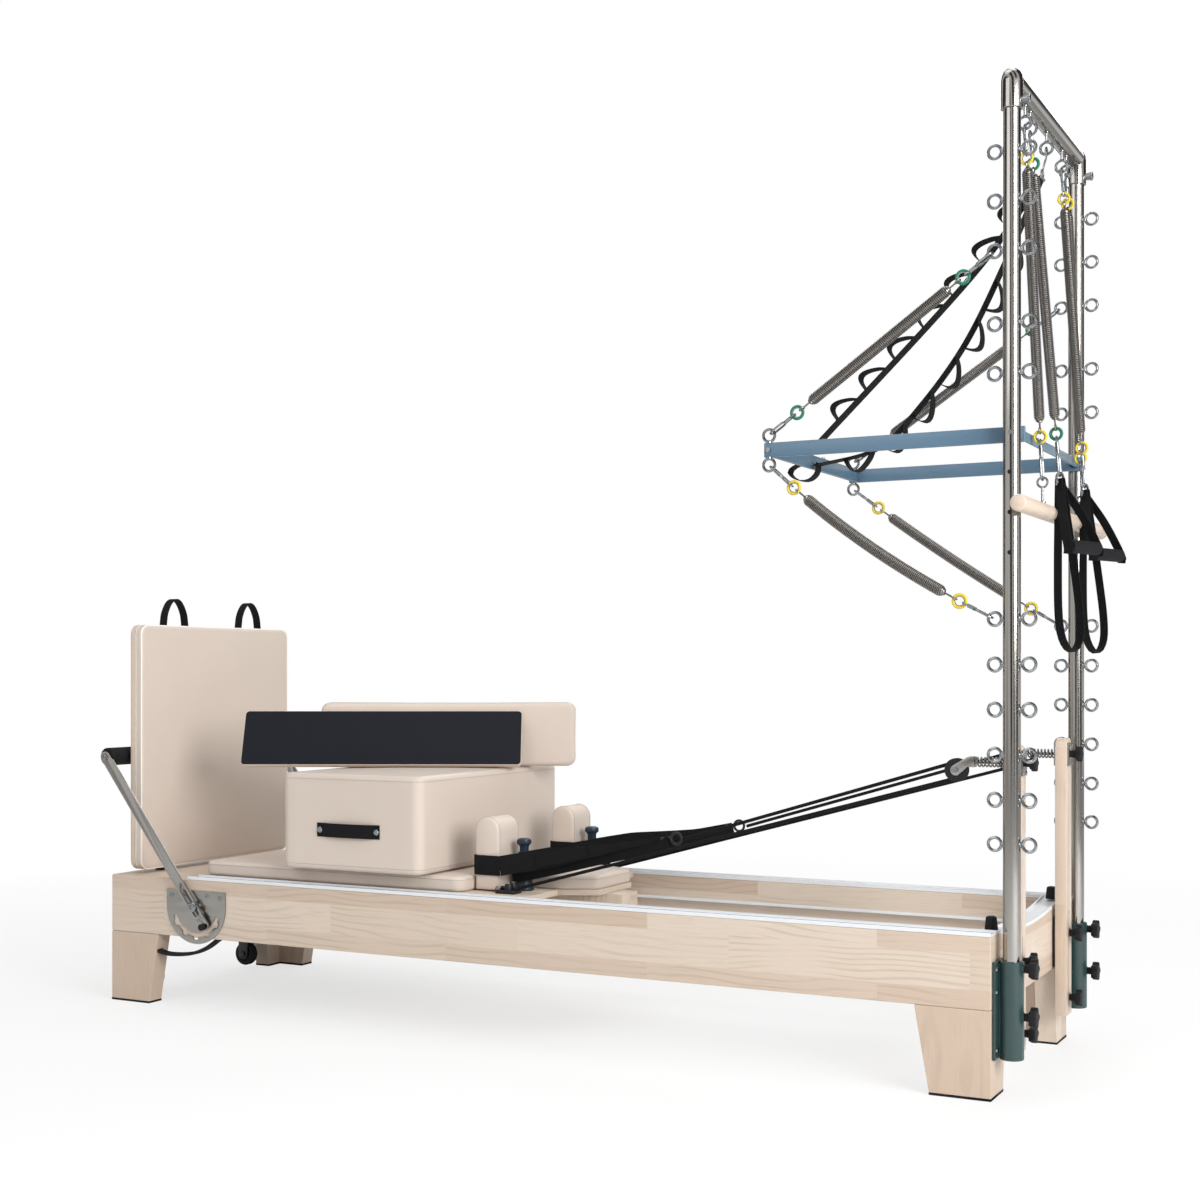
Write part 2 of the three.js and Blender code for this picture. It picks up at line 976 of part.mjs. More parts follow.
function standingPieces() {
  const lean = rad(standing.lean);
  const { boardLength: long, boardHeight: high, boardThick: thick } = standing;
  const board = box(-long / 2, long / 2, 0, thick, 0, high).rotateX(-lean);
  board.translate(0, 0, thick * Math.sin(lean) + gap);
  const backReach = thick * Math.cos(lean) + high * Math.sin(lean) + gap;
  const slab = cushion({
    halfX: standing.slabLength / 2,
    halfY: standing.slabHeight / 2,
    height: standing.slabThick - standing.slabCrown,
    corner: standing.slabCorner,
    edge: standing.slabEdge,
    crown: standing.slabCrown,
  });
  slab.rotateX(Math.PI / 2);
  slab.translate(standing.slabAlong, backReach + standing.slabThick, standing.slabHeight / 2 + gap);
  const made = group(piece("platform_board", black, board), piece("support_slab", leather, slab));
  made.position.set(seatBoxX + seatBox.length / 2 - standing.boardBack, standing.boardY, seatTop);
  made.rotation.z = rad(standing.turn);
  return made;
}

function jumpBoardPiece() {
  const { ply, pad, halfWidth, bottom, top, corner, edge, crown } = jumpBoard;
  const backX = jumpBoardX;
  const halfHeight = (top - bottom) / 2;
  const face = standX(
    cushion({ halfX: halfWidth, halfY: halfHeight, height: pad + bite, corner, edge, crown }),
  ).translate(backX + ply - bite, 0, bottom + halfHeight);
  const sheet = roundedPlan(halfWidth, halfHeight, corner, 0).map(([y, z]) => [y, z + bottom + halfHeight]);
  const parts = [face, prismX(outline(sheet), backX, backX + ply)];
  const floor = bed.railTop + gap;
  for (const side of [-1, 1]) {
    const y = side * jumpBoard.footY;
    const half = jumpBoard.footWidth / 2;
    parts.push(box(backX, backX + ply, y - half, y + half, floor, bottom + corner));
    parts.push(boardLoop(side));
  }
  return piece("jump_board", leather, join(...parts));
}

// A carrying loop that arches over the board's top edge
function boardLoop(side) {
  const { loopInner, loopOuter, loopHeight, loopWidth, loopThick, top } = jumpBoard;
  const radius = (loopOuter - loopInner) / 2;
  const arch = (reach, rise) => {
    const points = [];
    for (let i = 0; i <= 6; i += 1) {
      const angle = (i / 6) * Math.PI;
      points.push([reach * Math.cos(angle), top + rise * Math.sin(angle) ** (1 / 2)]);
    }
    return points;
  };
  const outer = arch(radius, loopHeight);
  const inner = arch(radius - loopThick, loopHeight - loopThick).reverse();
  const sunk = top - jumpBoard.edge;
  const last = radius - loopThick;
  const band = [[radius, sunk], ...outer, [-radius, sunk], [-last, sunk], ...inner, [last, sunk]];
  const middle = jumpBoardX + jumpBoard.ply;
  const shape = prismX(outline(band), middle - loopWidth / 2, middle + loopWidth / 2);
  return shape.translate(0, (side * (loopInner + loopOuter)) / 2, 0);
}

// Footbar pieces
function footbarPieces() {
  const { lean, reach, tail, armWidth, shaft, shaftPlay } = footbar;
  const arm = stadium(-tail, reach, armWidth / 2);
  arm.holes.push(stadium(-footbar.slotBelow, footbar.slotAbove, shaft + shaftPlay, THREE.Path));
  const bars = [-armOuter, armInner].map((y) => prismY(arm, y, y + footbar.armThick, 3));
  const core = rod(vector(0, -armInner - bite, reach), vector(0, armInner + bite, reach), footbar.core, 10);
  const knobZ = footbar.knobUp - tail;
  const lockKnob = rod(
    vector(0, -armOuter + bite, knobZ),
    vector(0, -armOuter - footbar.knobLength, knobZ),
    footbar.knob,
  );
  const half = armInner - gap;
  const hollow = footbar.core + gap;
  const sleeve = [
    [hollow, -half],
    [footbar.grip, -half],
    [footbar.grip, half],
    [hollow, half],
    [hollow, -half],
  ];
  const grip = lathe(sleeve, 16).rotateX(Math.PI / 2).translate(0, 0, reach);
  const made = group(
    piece("footbar_arms", polished, join(...bars, core, lockKnob)),
    piece("footbar_grip", black, grip),
  );
  made.position.set(pivotX, 0, footbar.pivotZ);
  made.rotation.y = -rad(lean);
  return made;
}

function footbarShaft() {
  const at = (y) => vector(pivotX, y, footbar.pivotZ);
  const head = armOuter + gap;
  const end = head + footbar.shaftHeadThick;
  const parts = [rod(at(-end), at(end), footbar.shaft, 10)];
  for (const side of [-1, 1]) {
    parts.push(rod(at(side * head), at(side * end), footbar.shaftHead, 8));
    parts.push(rod(at(side * (plateOuter + gap)), at(side * (armInner - gap)), footbar.shaftHead, 8));
  }
  return piece("footbar_shaft", steel, join(...parts));
}

function notchedPlates() {
  const { thick, radius, above, slotRadius, slotHalf, notches, notchRadius } = notchedPlate;
  const shape = new THREE.Shape();
  shape.moveTo(radius, above);
  shape.lineTo(-radius, above);
  shape.lineTo(-radius, 0);
  shape.absarc(0, 0, radius, Math.PI, 2 * Math.PI, false);
  const hole = new THREE.Path();
  hole.absarc(0, 0, footbar.shaft + footbar.shaftPlay, 0, 2 * Math.PI, false);
  shape.holes.push(hole);
  const slot = new THREE.Shape();
  const [from, to] = [rad(notchedPlate.slotFrom), rad(notchedPlate.slotTo)];
  slot.absarc(0, 0, slotRadius + slotHalf, from, to, false);
  slot.absarc(0, 0, slotRadius - slotHalf, to, from, true);
  const cutters = [prismY(slot, -bite, thick + bite, 5)];
  for (let i = 0; i < notches; i += 1) {
    const angle = from + ((to - from) * (i + 1 / 2)) / notches;
    const reach = slotRadius + slotHalf;
    const at = (y) => vector(reach * Math.cos(angle), y, reach * Math.sin(angle));
    cutters.push(rod(at(-bite), at(thick + bite), notchRadius, 6));
  }
  const plate = cut(prismY(shape, 0, thick, 6), ...cutters);
  return pair("notched_plate", polished, plate.translate([pivotX, -plateOuter, footbar.pivotZ]));
}

// Tower pieces
function starKnob(x, y, z) {
  const { radius, waistShare, lobes, thick } = knob;
  const points = [];
  for (let i = 0; i < 2 * lobes; i += 1) {
    const angle = (i / lobes) * Math.PI;
    const reach = i % 2 ? radius * waistShare : radius;
    points.push([y + reach * Math.cos(angle), z + reach * Math.sin(angle)]);
  }
  const head = prismX(outline(points), x + knob.standOff, x + knob.standOff + thick);
  const stem = rod(vector(x - bite, y, z), vector(x + knob.standOff + bite, y, z), knob.stem, 6);
  return join(head, stem);
}

function sockets() {
  const inner = tower.diameter / 2 + socket.play;
  const outer = inner + socket.wall;
  const { bottom, top, floor } = socket;
  const profile = [
    [0, bottom],
    [outer, bottom],
    [outer, top],
    [inner, top],
    [inner, bottom + floor],
    [0, bottom + floor],
  ];
  const y = -tower.postY;
  const cup = lathe(profile, tower.facets).translate(tower.postX, y, 0);
  const wallX = tower.postX - inner - socket.wall / 2;
  const web = box(gap, wallX, y - socket.webHalf, y + socket.webHalf, bottom, top);
  const plate = box(gap, socket.plate, y - socket.plateHalf, y + socket.plateHalf, bottom, top);
  const knobX = tower.postX + outer - socket.wall / 2;
  const knobs = [socket.knobLow, socket.knobHigh].map((z) => starKnob(knobX, y, z));
  return pair("socket", green, join(cup, web, plate, ...knobs));
}

// A ring of an eye bolt, and the space it needs in what hooks to it
const eyeRing = (centre) => torus(centre, eye.ring, eye.wire, vector(0, 1, 0), 6);
const eyeSpace = (centre) => torus(centre, eye.ring, eye.wire + 2 * gap, vector(0, 1, 0), 6);

function posts() {
  const outer = tower.diameter / 2;
  const inner = outer - tower.wall;
  const profile = [
    [inner, tower.bottom],
    [outer, tower.bottom],
    [outer, tower.top],
    [inner, tower.top],
    [inner, tower.bottom],
  ];
  const y = -tower.postY;
  const tube = lathe(profile, tower.facets).translate(tower.postX, y, 0);
  const hole = (z, farY, sides) =>
    rod(vector(tower.postX, y - outer - bite, z), vector(tower.postX, farY, z), tower.holeRadius, sides);
  const cutters = [hole(pivotHeight, y + outer + bite, 8), ...holeHeights.map((z) => hole(z, y, 6))];
  const parts = [cut(tube, ...cutters)];
  for (const z of eyeHeights) {
    for (const side of [-1, 1]) {
      const start = vector(tower.postX + side * (outer - tower.wall / 2), y, z);
      const stop = vector(tower.postX + side * (eye.reach - eye.ring), y, z);
      parts.push(rod(start, stop, eye.stem, 3));
      parts.push(eyeRing(vector(tower.postX + side * eye.reach, y, z)));
    }
  }
  return pair("post", polished, join(...parts));
}

function topRail() {
  const { radius, capRadius } = rail;
  const [capBottom, centreZ] = [tower.top - rail.capSkirt, railZ];
  const outer = tower.diameter / 2 + gap;
  const dome = Array.from({ length: 3 }, (_, i) => {
    const angle = (i / 2) * (Math.PI / 2);
    return [capRadius * Math.cos(angle), centreZ + capRadius * Math.sin(angle)];
  });
  dome.at(-1)[0] = 0;
  const profile = [
    [0, tower.top + gap],
    [outer, tower.top + gap],
    [outer, capBottom],
    [capRadius, capBottom],
    ...dome,
  ];
  const x = tower.postX;
  const parts = [rod(vector(x, -tower.postY, centreZ), vector(x, tower.postY, centreZ), radius, 10)];
  for (const side of [-1, 1]) {
    const y = side * tower.postY;
    const z = centreZ - rail.boltDrop;
    parts.push(lathe(profile, tower.facets).translate(x, y, 0));
    parts.push(rod(vector(x + outer + gap, y, z), vector(x + rail.boltLength, y, z), rail.boltRadius, 6));
  }
  for (const y of [-rail.outerEyeY, -rail.innerEyeY, 0, rail.innerEyeY, rail.outerEyeY]) {
    const top = vector(x, y, centreZ - radius + bite);
    parts.push(rod(top, vector(x, y, railEyeZ + eye.ring), eye.stem, 3));
    parts.push(eyeRing(vector(x, y, railEyeZ)));
  }
  return piece("top_rail", polished, join(...parts));
}

function risers() {
  const x0 = riser.standOff;
  const x1 = x0 + riser.thick;
  const inner = -riser.innerY;
  const outer = inner - riser.width;
  const middle = (inner + outer) / 2;
  const half = riser.width / 2;
  const front = new THREE.Shape();
  front.moveTo(outer, riser.bottom);
  front.lineTo(inner, riser.bottom);
  front.absarc(middle, riser.top - half, half, 0, Math.PI, false);
  const slot = stadium(riser.slotBottom, riser.slotTop, riser.slotHalf, THREE.Path);
  const slotPoints = slot.getPoints(2).map((point) => new THREE.Vector2(point.x + middle, point.y));
  front.holes.push(new THREE.Path(slotPoints));
  const parts = [prismX(front, x0, x1, 4)];
  const { guideLow, guideHeight, plateHalf, plateHeight, plateThick, topKnobZ } = riser;
  parts.push(box(gap, x0 + bite, middle - plateHalf, middle + plateHalf, guideLow, guideLow + guideHeight));
  for (const [from, to] of [
    [x0 - plateThick, x0 + bite],
    [x1 - bite, x1 + plateThick],
  ]) {
    const low = topKnobZ - plateHeight / 2;
    parts.push(box(from, to, middle - plateHalf, middle + plateHalf, low, low + plateHeight));
  }
  parts.push(starKnob(x1 + plateThick, middle, topKnobZ));
  const washer = riser.slotHalf * 2;
  for (const z of [riser.knobLow, riser.knobHigh]) {
    parts.push(starKnob(x1, middle, z));
    parts.push(rod(vector(x1 - bite, middle, z), vector(x1 + plateThick, middle, z), washer, 6));
  }
  return pair("riser", beech, join(...parts));
}

function pulleyBlocks() {
  const { x, z, halfWidth, cheekGap, cheek, axle, yokeFromAxle, yokeLength, yokeRise } = pulley;
  const y = -pulley.y;
  const inside = halfWidth + cheekGap;
  const outside = inside + cheek;
  const backX = x + yokeFromAxle;
  const yokeZ = z + yokeRise;
  const half = pulley.ropeRadius / 2;
  const side = outline([
    [x - half, z - half],
    [x + half, z - half],
    [backX + yokeLength, yokeZ - half],
    [backX + yokeLength, yokeZ + half],
    [backX, yokeZ + half],
    [x - half, z + half],
  ]);
  const plateX = riser.standOff - riser.plateThick;
  const parts = [
    prismY(side, y - outside, y - inside),
    prismY(side, y + inside, y + outside),
    box(backX, backX + yokeLength, y - outside, y + outside, yokeZ - half, yokeZ + half),
    rod(vector(x, y - outside, z), vector(x, y + outside, z), axle),
    rod(vector(backX, y, riser.topKnobZ), vector(plateX - gap, y, riser.topKnobZ), pulley.rod),
  ];
  return pair("pulley_block", steel, join(...parts));
}

function sheaves() {
  const { bore, flangeRadius, halfWidth, halfGroove, ropeRadius } = pulley;
  const floor = ropeRadius - rope.radius - pulley.ropeClearance;
  const rim = halfWidth - (halfWidth - halfGroove) / 2;
  const profile = [
    [bore, -halfWidth],
    [flangeRadius, -halfWidth],
    [flangeRadius, -rim],
    [floor, -halfGroove],
    [floor, halfGroove],
    [flangeRadius, rim],
    [flangeRadius, halfWidth],
    [bore, halfWidth],
    [bore, -halfWidth],
  ];
  const disc = lathe(profile, 12).rotateX(Math.PI / 2).translate(pulley.x, -pulley.y, pulley.z);
  return pair("sheave", black, disc);
}

// The axis of a coil between two points, hanging by a sag at its middle
function axisPoint(from, to, sag, share) {
  return from
    .clone()
    .lerp(to, share)
    .addScaledVector(sag, 4 * share * (1 - share));
}

const noSag = vector(0, 0, 0);
const curlSteps = 8;
const leastGaps = [];

// One open coil drawn as an unbroken wire that runs on straight to a hook at each end
function coil(from, to, radius, wire, turns, sag, hooks) {
  const along = to.clone().sub(from).normalize();
  const up = vector(0, 1, 0).cross(along).normalize();
  const side = along.clone().cross(up);
  const count = turns * curlSteps;
  const points = [];
  for (let i = 0; i <= count; i += 1) {
    const angle = (i / curlSteps) * 2 * Math.PI;
    const reach = radius * Math.min(1, (2 * i) / curlSteps, (2 * (count - i)) / curlSteps);
    const point = axisPoint(from, to, sag, i / count);
    point.addScaledVector(up, reach * Math.cos(angle)).addScaledVector(side, reach * Math.sin(angle));
    points.push(point);
  }
  points.unshift(hooks[0]);
  points.push(hooks[1]);
  leastGaps.push(selfGap(points, 2 * wire));
  return sweep(points, round(wire, 5));
}

// The least distance between parts of a wire that aren't neighbours, less its diameter
function selfGap(points, diameter) {
  let least = Infinity;
  points.forEach((point, i) => {
    for (let k = i + curlSteps - 1; k < points.length; k += 1) {
      least = Math.min(least, point.distanceTo(points[k]));
    }
  });
  return least - diameter;
}

function pulleySprings() {
  const { springRadius, springWire, springTurns } = pulley;
  const y = -pulley.y;
  const z = riser.topKnobZ;
  const start = pulley.x + pulley.yokeFromAxle + pulley.yokeLength + gap + springWire;
  const stop = riser.standOff - riser.plateThick - gap - springWire;
  const count = springTurns * curlSteps;
  const points = [];
  for (let i = 0; i <= count; i += 1) {
    const angle = (i / curlSteps) * 2 * Math.PI;
    const x = start + ((stop - start) * i) / count;
    points.push(vector(x, y + springRadius * Math.cos(angle), z + springRadius * Math.sin(angle)));
  }
  leastGaps.push(selfGap(points, 2 * springWire));
  return pair("pulley_spring", steel, sweep(points, round(springWire, 5)));
}

// A tower spring from one eye to another: clip, ring, hook, coil, hook, ring, clip
function towerSpring(name, start, stop, sag, firstRing, firstBody, lastRing, lastBody) {
  const length = start.distanceTo(stop);
  const at = (distance) => axisPoint(start, stop, sag, distance / length);
  const spots = {
    clipStart: at(eye.ring),
    ringStart: at(firstRing),
    bodyStart: at(firstBody),
    bodyStop: at(length - lastBody),
    ringStop: at(length - lastRing),
    clipStop: at(length - eye.ring),
  };
  const { ring, ringWire, link, coil: coilRadius, wire, turns } = armSpring;
  const edge = (centre, towards) => centre.clone().add(towards.clone().sub(centre).setLength(ring));
  const chord = spots.bodyStop.clone().sub(spots.bodyStart);
  const bodyShare = chord.length() / length;
  const bodySag = sag.clone().multiplyScalar(bodyShare ** 2);
  const axis = vector(0, 1, 0);
  const hooks = [edge(spots.ringStart, spots.bodyStart), edge(spots.ringStop, spots.bodyStop)];
  const parts = [
    rod(spots.clipStart, edge(spots.ringStart, spots.clipStart), link, 4),
    torus(spots.ringStart, ring, ringWire, axis, 7),
    coil(spots.bodyStart, spots.bodyStop, coilRadius, wire, turns, bodySag, hooks),
    torus(spots.ringStop, ring, ringWire, axis, 7),
    rod(edge(spots.ringStop, spots.clipStop), spots.clipStop, link, 4),
  ];
  return piece(name, steel, cut(join(...parts), eyeSpace(start), eyeSpace(stop)));
}

function armSprings() {
  const armY = pushBar.innerY + pushBar.armThick / 2;
  const made = [];
  const { ringFromEye, bodyFromEye } = armSpring;
  const hardware = [ringFromEye, bodyFromEye, ringFromEye, bodyFromEye];
  const postX = tower.postX - eye.reach;
  const droop = vector(-Math.SQRT1_2, 0, -1).normalize();
  for (const [side, word] of [
    [-1, "near"],
    [1, "far"],
  ]) {
    const upper = vector(pushBar.eyeX, side * armY, pivotHeight + pushBar.eyeRise);
    const lower = vector(pushBar.eyeX, side * armY, pivotHeight - pushBar.eyeRise);
    const high = vector(postX, side * tower.postY, eyeHeights[2]);
    const low = vector(postX, side * tower.postY, eyeHeights[5]);
    made.push(towerSpring(`upper_spring_${word}`, upper, high, noSag, ...hardware));
    const sag = droop.clone().multiplyScalar(side < 0 ? armSpring.nearSag : armSpring.farSag);
    made.push(towerSpring(`lower_spring_${word}`, lower, low, sag, ...hardware));
  }
  return made;
}

function hangingSprings() {
  const made = [];
  const hardware = [
    hangSpring.ringFromEye,
    hangSpring.bodyFromEye,
    hangSpring.lowerRingFromEye,
    hangSpring.lowerBodyFromEye,
  ];
  for (const [side, word] of [
    [-1, "near"],
    [1, "far"],
  ]) {
    const outerTop = vector(tower.postX, side * rail.outerEyeY, railEyeZ);
    const innerTop = vector(tower.postX, side * rail.innerEyeY, railEyeZ);
    const bar = vector(rollBar.x, side * rollBar.eyeY, rollBar.eyeZ);
    const apex = vector(handle.x, side * handle.y, handle.apexZ);
    made.push(towerSpring(`roll_spring_${word}`, outerTop, bar, noSag, ...hardware));
    made.push(towerSpring(`handle_spring_${word}`, innerTop, apex, noSag, ...hardware));
  }
  return made;
}

function pushThroughBar() {
  const { footX: x0, headX: x1, innerY, armThick, armHeight } = pushBar;
  const outerY = innerY + armThick;
  const half = armHeight / 2;
  const z = pivotHeight;
  const parts = [];
  for (const y of [-outerY, innerY]) {
    parts.push(rodArm(x0, x1, y, y + armThick, z, half));
  }
  for (const [x, thick] of [
    [pushBar.endBarX, pushBar.endBarThick],
    [pushBar.rearBarX, pushBar.rearBarThick],
  ]) {
    const rise = half - bite;
    parts.push(box(x - thick / 2, x + thick / 2, -innerY - bite, innerY + bite, z - rise, z + rise));
  }
  const eyeY = innerY + armThick / 2;
  const pinEnd = tower.postY + tower.diameter / 2;
  for (const side of [-1, 1]) {
    for (const rise of [-1, 1]) {
      const start = z + rise * (half - bite);
      const stop = z + rise * (pushBar.eyeRise - eye.ring);
      parts.push(
        rod(vector(pushBar.eyeX, side * eyeY, start), vector(pushBar.eyeX, side * eyeY, stop), eye.stem, 3),
      );
      parts.push(eyeRing(vector(pushBar.eyeX, side * eyeY, z + rise * pushBar.eyeRise)));
    }
    const at = (y) => vector(tower.postX, side * y, z);
    parts.push(rod(at(innerY + bite), at(pinEnd), pushBar.pin));
    parts.push(rod(at(innerY - pushBar.collarThick), at(innerY + 2 * bite), pushBar.collar));
  }
  return piece("push_through_bar", blue, join(...parts));
}

// A flat arm along X with round ends
function rodArm(x0, x1, y0, y1, z, half) {
  const shape = new THREE.Shape();
  shape.absarc(x1 - half, z, half, -Math.PI / 2, Math.PI / 2, false);
  shape.absarc(x0 + half, z, half, Math.PI / 2, 1.5 * Math.PI, false);
  return prismY(shape, y0, y1, 3);
}

function rollDownBar() {
  const { x, z, radius, half, eyeY, eyeZ } = rollBar;
  const parts = [rod(vector(x, -half, z), vector(x, half, z), radius, 12)];
  for (const side of [-1, 1]) {
    const y = side * eyeY;
    parts.push(rod(vector(x, y, z), vector(x, y, eyeZ - eye.ring), eye.stem, 3));
    parts.push(eyeRing(vector(x, y, eyeZ)));
  }
  return piece("roll_down_bar", beech, join(...parts));
}

// A band of webbing or the like in an upright plane along X
function sweepRings(points, section) {
  return sweep(points, section, vector(0, 1, 0));
}

// A hand strap and a long loop on one ring, hanging clear of the roll-down bar in front of it
function handles() {
  const { apexZ, gripZ, gripOut, gripHalf, gripRadius, strap, strapWidth, bow } = handle;
  const low = vector(0, 0, apexZ - eye.ring);
  const parts = [eyeRing(vector(0, 0, apexZ))];
  const [along, across] = [levelWay(handle.turn), levelWay(handle.turn + 90)];
  const centre = vector(gripOut, 0, gripZ);
  const gripEnd = (side, reach) => centre.clone().addScaledVector(along, side * reach);
  parts.push(rod(gripEnd(-1, gripHalf), gripEnd(1, gripHalf), gripRadius, 8));
  for (const side of [-1, 1]) {
    const foot = gripEnd(side, gripHalf - strap);
    const middle = low.clone().lerp(foot, 1 / 2).addScaledVector(along, side * bow);
    parts.push(sweep([low, middle, foot], strip(strap, strapWidth), across));
  }
  parts.push(sweep(longLoop(low), strip(strap, strapWidth), levelWay(handle.loopTurn + 90)));
  return pair("pull_handle", webbing, join(...parts).translate([handle.x, -handle.y, 0]));
}

// A level direction at an angle from X
const levelWay = (angle) => vector(Math.cos(rad(angle)), Math.sin(rad(angle)), 0);

// A drop-shaped loop, narrow where it passes the bar and widest low down
const loopShares = [
  [-0.1, 0],
  [-0.3, 0.15],
  [-0.75, 0.5],
  [-1, 0.78],
  [-0.8, 0.93],
  [0, 1],
  [0.8, 0.93],
  [1, 0.78],
  [0.75, 0.5],
  [0.3, 0.15],
  [0.1, 0],
];
function longLoop(top) {
  const way = levelWay(handle.loopTurn);
  return loopShares.map(([wideShare, dropShare]) => {
    const out = handle.loopOut * Math.min(1, dropShare / loopShares[1][1]);
    const point = vector(out, 0, top.z + (handle.loopBottom - top.z) * dropShare);
    return point.addScaledVector(way, handle.loopHalf * wideShare);
  });
}

// Ladder strap: two strands with small loops, from the top rail's middle eye to the push-through bar
const tautShares = [
  [0, 0],
  [0.29, 0.353],
  [0.93, 0.942],
];
const slackShares = [
  [0, 0],
  [0.153, 0.293],
  [0.325, 0.58],
  [0.524, 0.803],
  [0.71, 0.948],
];
const tautEndRise = 20;
const slackEndDrop = 27;

function ladderStrap() {
  const top = vector(tower.postX, 0, railEyeZ - ladder.clipDrop);
  const barFace = pushBar.endBarX + pushBar.endBarThick / 2 + gap + ladder.thick;
  const barTop = pivotHeight + pushBar.armHeight / 2;
  const strandTo = (shares, endX, endZ) => {
    const points = shares.map(([across, down]) =>
      vector(top.x + (endX - top.x) * across, 0, top.z + (endZ - top.z) * down),
    );
    points.push(vector(endX, 0, endZ));
    return points;
  };
  const taut = strandTo(tautShares, barFace, barTop + gap + tautEndRise);
  const slack = strandTo(slackShares, barFace + ladder.thick, barTop - slackEndDrop);
  const parts = [];
  for (const strand of [taut, slack]) {
    const curve = new THREE.CatmullRomCurve3(strand);
    parts.push(sweepRings(curve.getSpacedPoints(10), strip(ladder.thick, ladder.width)));
    parts.push(...smallLoops(curve));
  }
  const ring = vector(top.x, 0, railEyeZ);
  const hookTop = vector(top.x, 0, railEyeZ - eye.ring);
  const hook = cut(rod(hookTop, vector(top.x, 0, top.z - ladder.thick), eye.stem, 6), eyeSpace(ring));
  const tail = join(...parts).translate([0, ladder.y, 0]);
  const lug = box(
    top.x - ladder.width / 4,
    top.x + ladder.width / 4,
    ladder.y - ladder.width / 2,
    ladder.width / 2,
    top.z - 2 * ladder.thick,
    top.z + ladder.thick,
  );
  return piece("ladder_strap", webbing, join(hook, tail, lug));
}

function smallLoops(curve) {
  const length = curve.getLength();
  const loops = [];
  const { loopStart, loopPitch, loopLength, loopRise, thick, width } = ladder;
  for (let at = loopStart; at + loopLength < length - loopPitch / 2; at += loopPitch) {
    const start = curve.getPointAt(at / length);
    const stop = curve.getPointAt((at + loopLength) / length);
    const along = stop.clone().sub(start).normalize();
    const out = vector(-along.z, 0, along.x);
    const points = [];
    for (let i = 0; i <= 4; i += 1) {
      const angle = (i / 4) * Math.PI;
      const run = (loopLength / 2) * (1 - Math.cos(angle));
      const point = start.clone().addScaledVector(along, run);
      points.push(point.addScaledVector(out, -loopRise * Math.sin(angle)));
    }
    loops.push(sweepRings(points, strip(thick, width)));
  }
  return loops;
}

// Ropes run from each loop's ring round the sheave and back to the cleat
function ropes() {
  const { x, y, z, ropeRadius } = pulley;
  const ring = vector(ropeRingX + loop.ringOuter - loop.ringWire, -rope.ringY, rope.ringZ);
  const points = [ring, vector(x, -y, z + ropeRadius)];
  for (let i = 1; i < 8; i += 1) {
    const angle = Math.PI / 2 - (i / 8) * Math.PI;
    points.push(vector(x + ropeRadius * Math.cos(angle), -y, z + ropeRadius * Math.sin(angle)));
  }
  points.push(vector(x, -y, z - ropeRadius));
  points.push(vector(cleatX + rope.cleatGap, -cleat.y, deckTop + rope.cleatRise));
  return pair("rope", webbing, sweep(points, round(rope.radius, 8), vector(0, 1, 0)));
}

// A webbing loop hung round the shoulder rest, its two ends at the rope's ring
function strapLoops() {
  const { width, thick, ringOuter, ringWire, restZ } = loop;
  const out = 2 * gap + thick / 2;
  const x0 = shoulderX - out;
  const x1 = shoulderX + shoulder.depth;
  const sideY = shoulder.width / 2 + shoulder.crown + out;
  const outer = -shoulder.centreY - sideY;
  const inner = -shoulder.centreY + sideY;
  const ringX = ropeRingX - ringOuter;
  const lift = rope.ringZ - restZ;
  const legShares = [0, 0.25, 0.5, 0.75];
  const leg = (y) =>
    legShares.map((share) =>
      vector(ringX + (x1 - ringX) * share, -rope.ringY + (y + rope.ringY) * share, rope.ringZ - lift * share),
    );
  const inset = loop.cornerCut;
  const points = [
    ...leg(outer),
    vector(x1, outer, restZ),
    vector(x0 + inset, outer, restZ),
    vector(x0, outer + inset, restZ),
    vector(x0, inner - inset, restZ),
    vector(x0 + inset, inner, restZ),
    vector(x1, inner, restZ),
    ...leg(inner).reverse(),
  ];
  const start = vector(0, thick, 0);
  points[0].sub(start);
  points.at(-1).add(start);
  const strapBand = sweep(points, strip(thick, width), vector(0, 0, 1));
  const reach = ringOuter - ringWire;
  const ringCentre = vector(ropeRingX - ringWire, -rope.ringY, rope.ringZ);
  const ring = torus(ringCentre, reach - ringWire, ringWire, vector(0, 1, 0));
  const lug = rod(
    vector(ringX - 2 * ringWire, -rope.ringY, rope.ringZ),
    vector(ropeRingX - reach, -rope.ringY, rope.ringZ),
    ringWire,
    6,
  );
  return pair("strap_loop", webbing, join(strapBand, ring, lug));
}

// The whole unit, its origin at the middle of its footprint on the floor
function towerUnit() {
  const unit = group(
    sideRails(),
    tracks(),
    headCrosspiece(),
    footCrosspiece(),
    footPlatform(),
    transportWheels(),
    legs(),
    carriageBase(),
    carriagePad(),
    headrestPiece(),
    shoulderRests(),
    spools(),
    carriageSprings(),
    sittingBox(),
    standingPieces(),
    jumpBoardPiece(),
    footbarPieces(),
    footbarShaft(),
    notchedPlates(),
    sockets(),
    posts(),
    topRail(),
    risers(),
    pulleyBlocks(),
    sheaves(),
    pulleySprings(),
    armSprings(),
    hangingSprings(),
    pushThroughBar(),
    rollDownBar(),
    handles(),
    ladderStrap(),
    ropes(),
    strapLoops(),
  );
  unit.updateMatrixWorld(true);
  const middle = new THREE.Box3().setFromObject(unit, true).getCenter(vector(0, 0, 0));
  unit.position.set(-middle.x, -middle.y, 0);
  return unit;
}

const unit = towerUnit();
console.log(`least gap of a spring's wire to itself: ${Math.min(...leastGaps).toFixed(1)} mm`);

export default unit;
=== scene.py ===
"""Pilates tower unit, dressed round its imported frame.

Sizes here are millimetres measured from the head end face of the bed's rails,
X towards the tower, Y across the bed with the near side negative, and Z up.
"""

import math
from itertools import accumulate

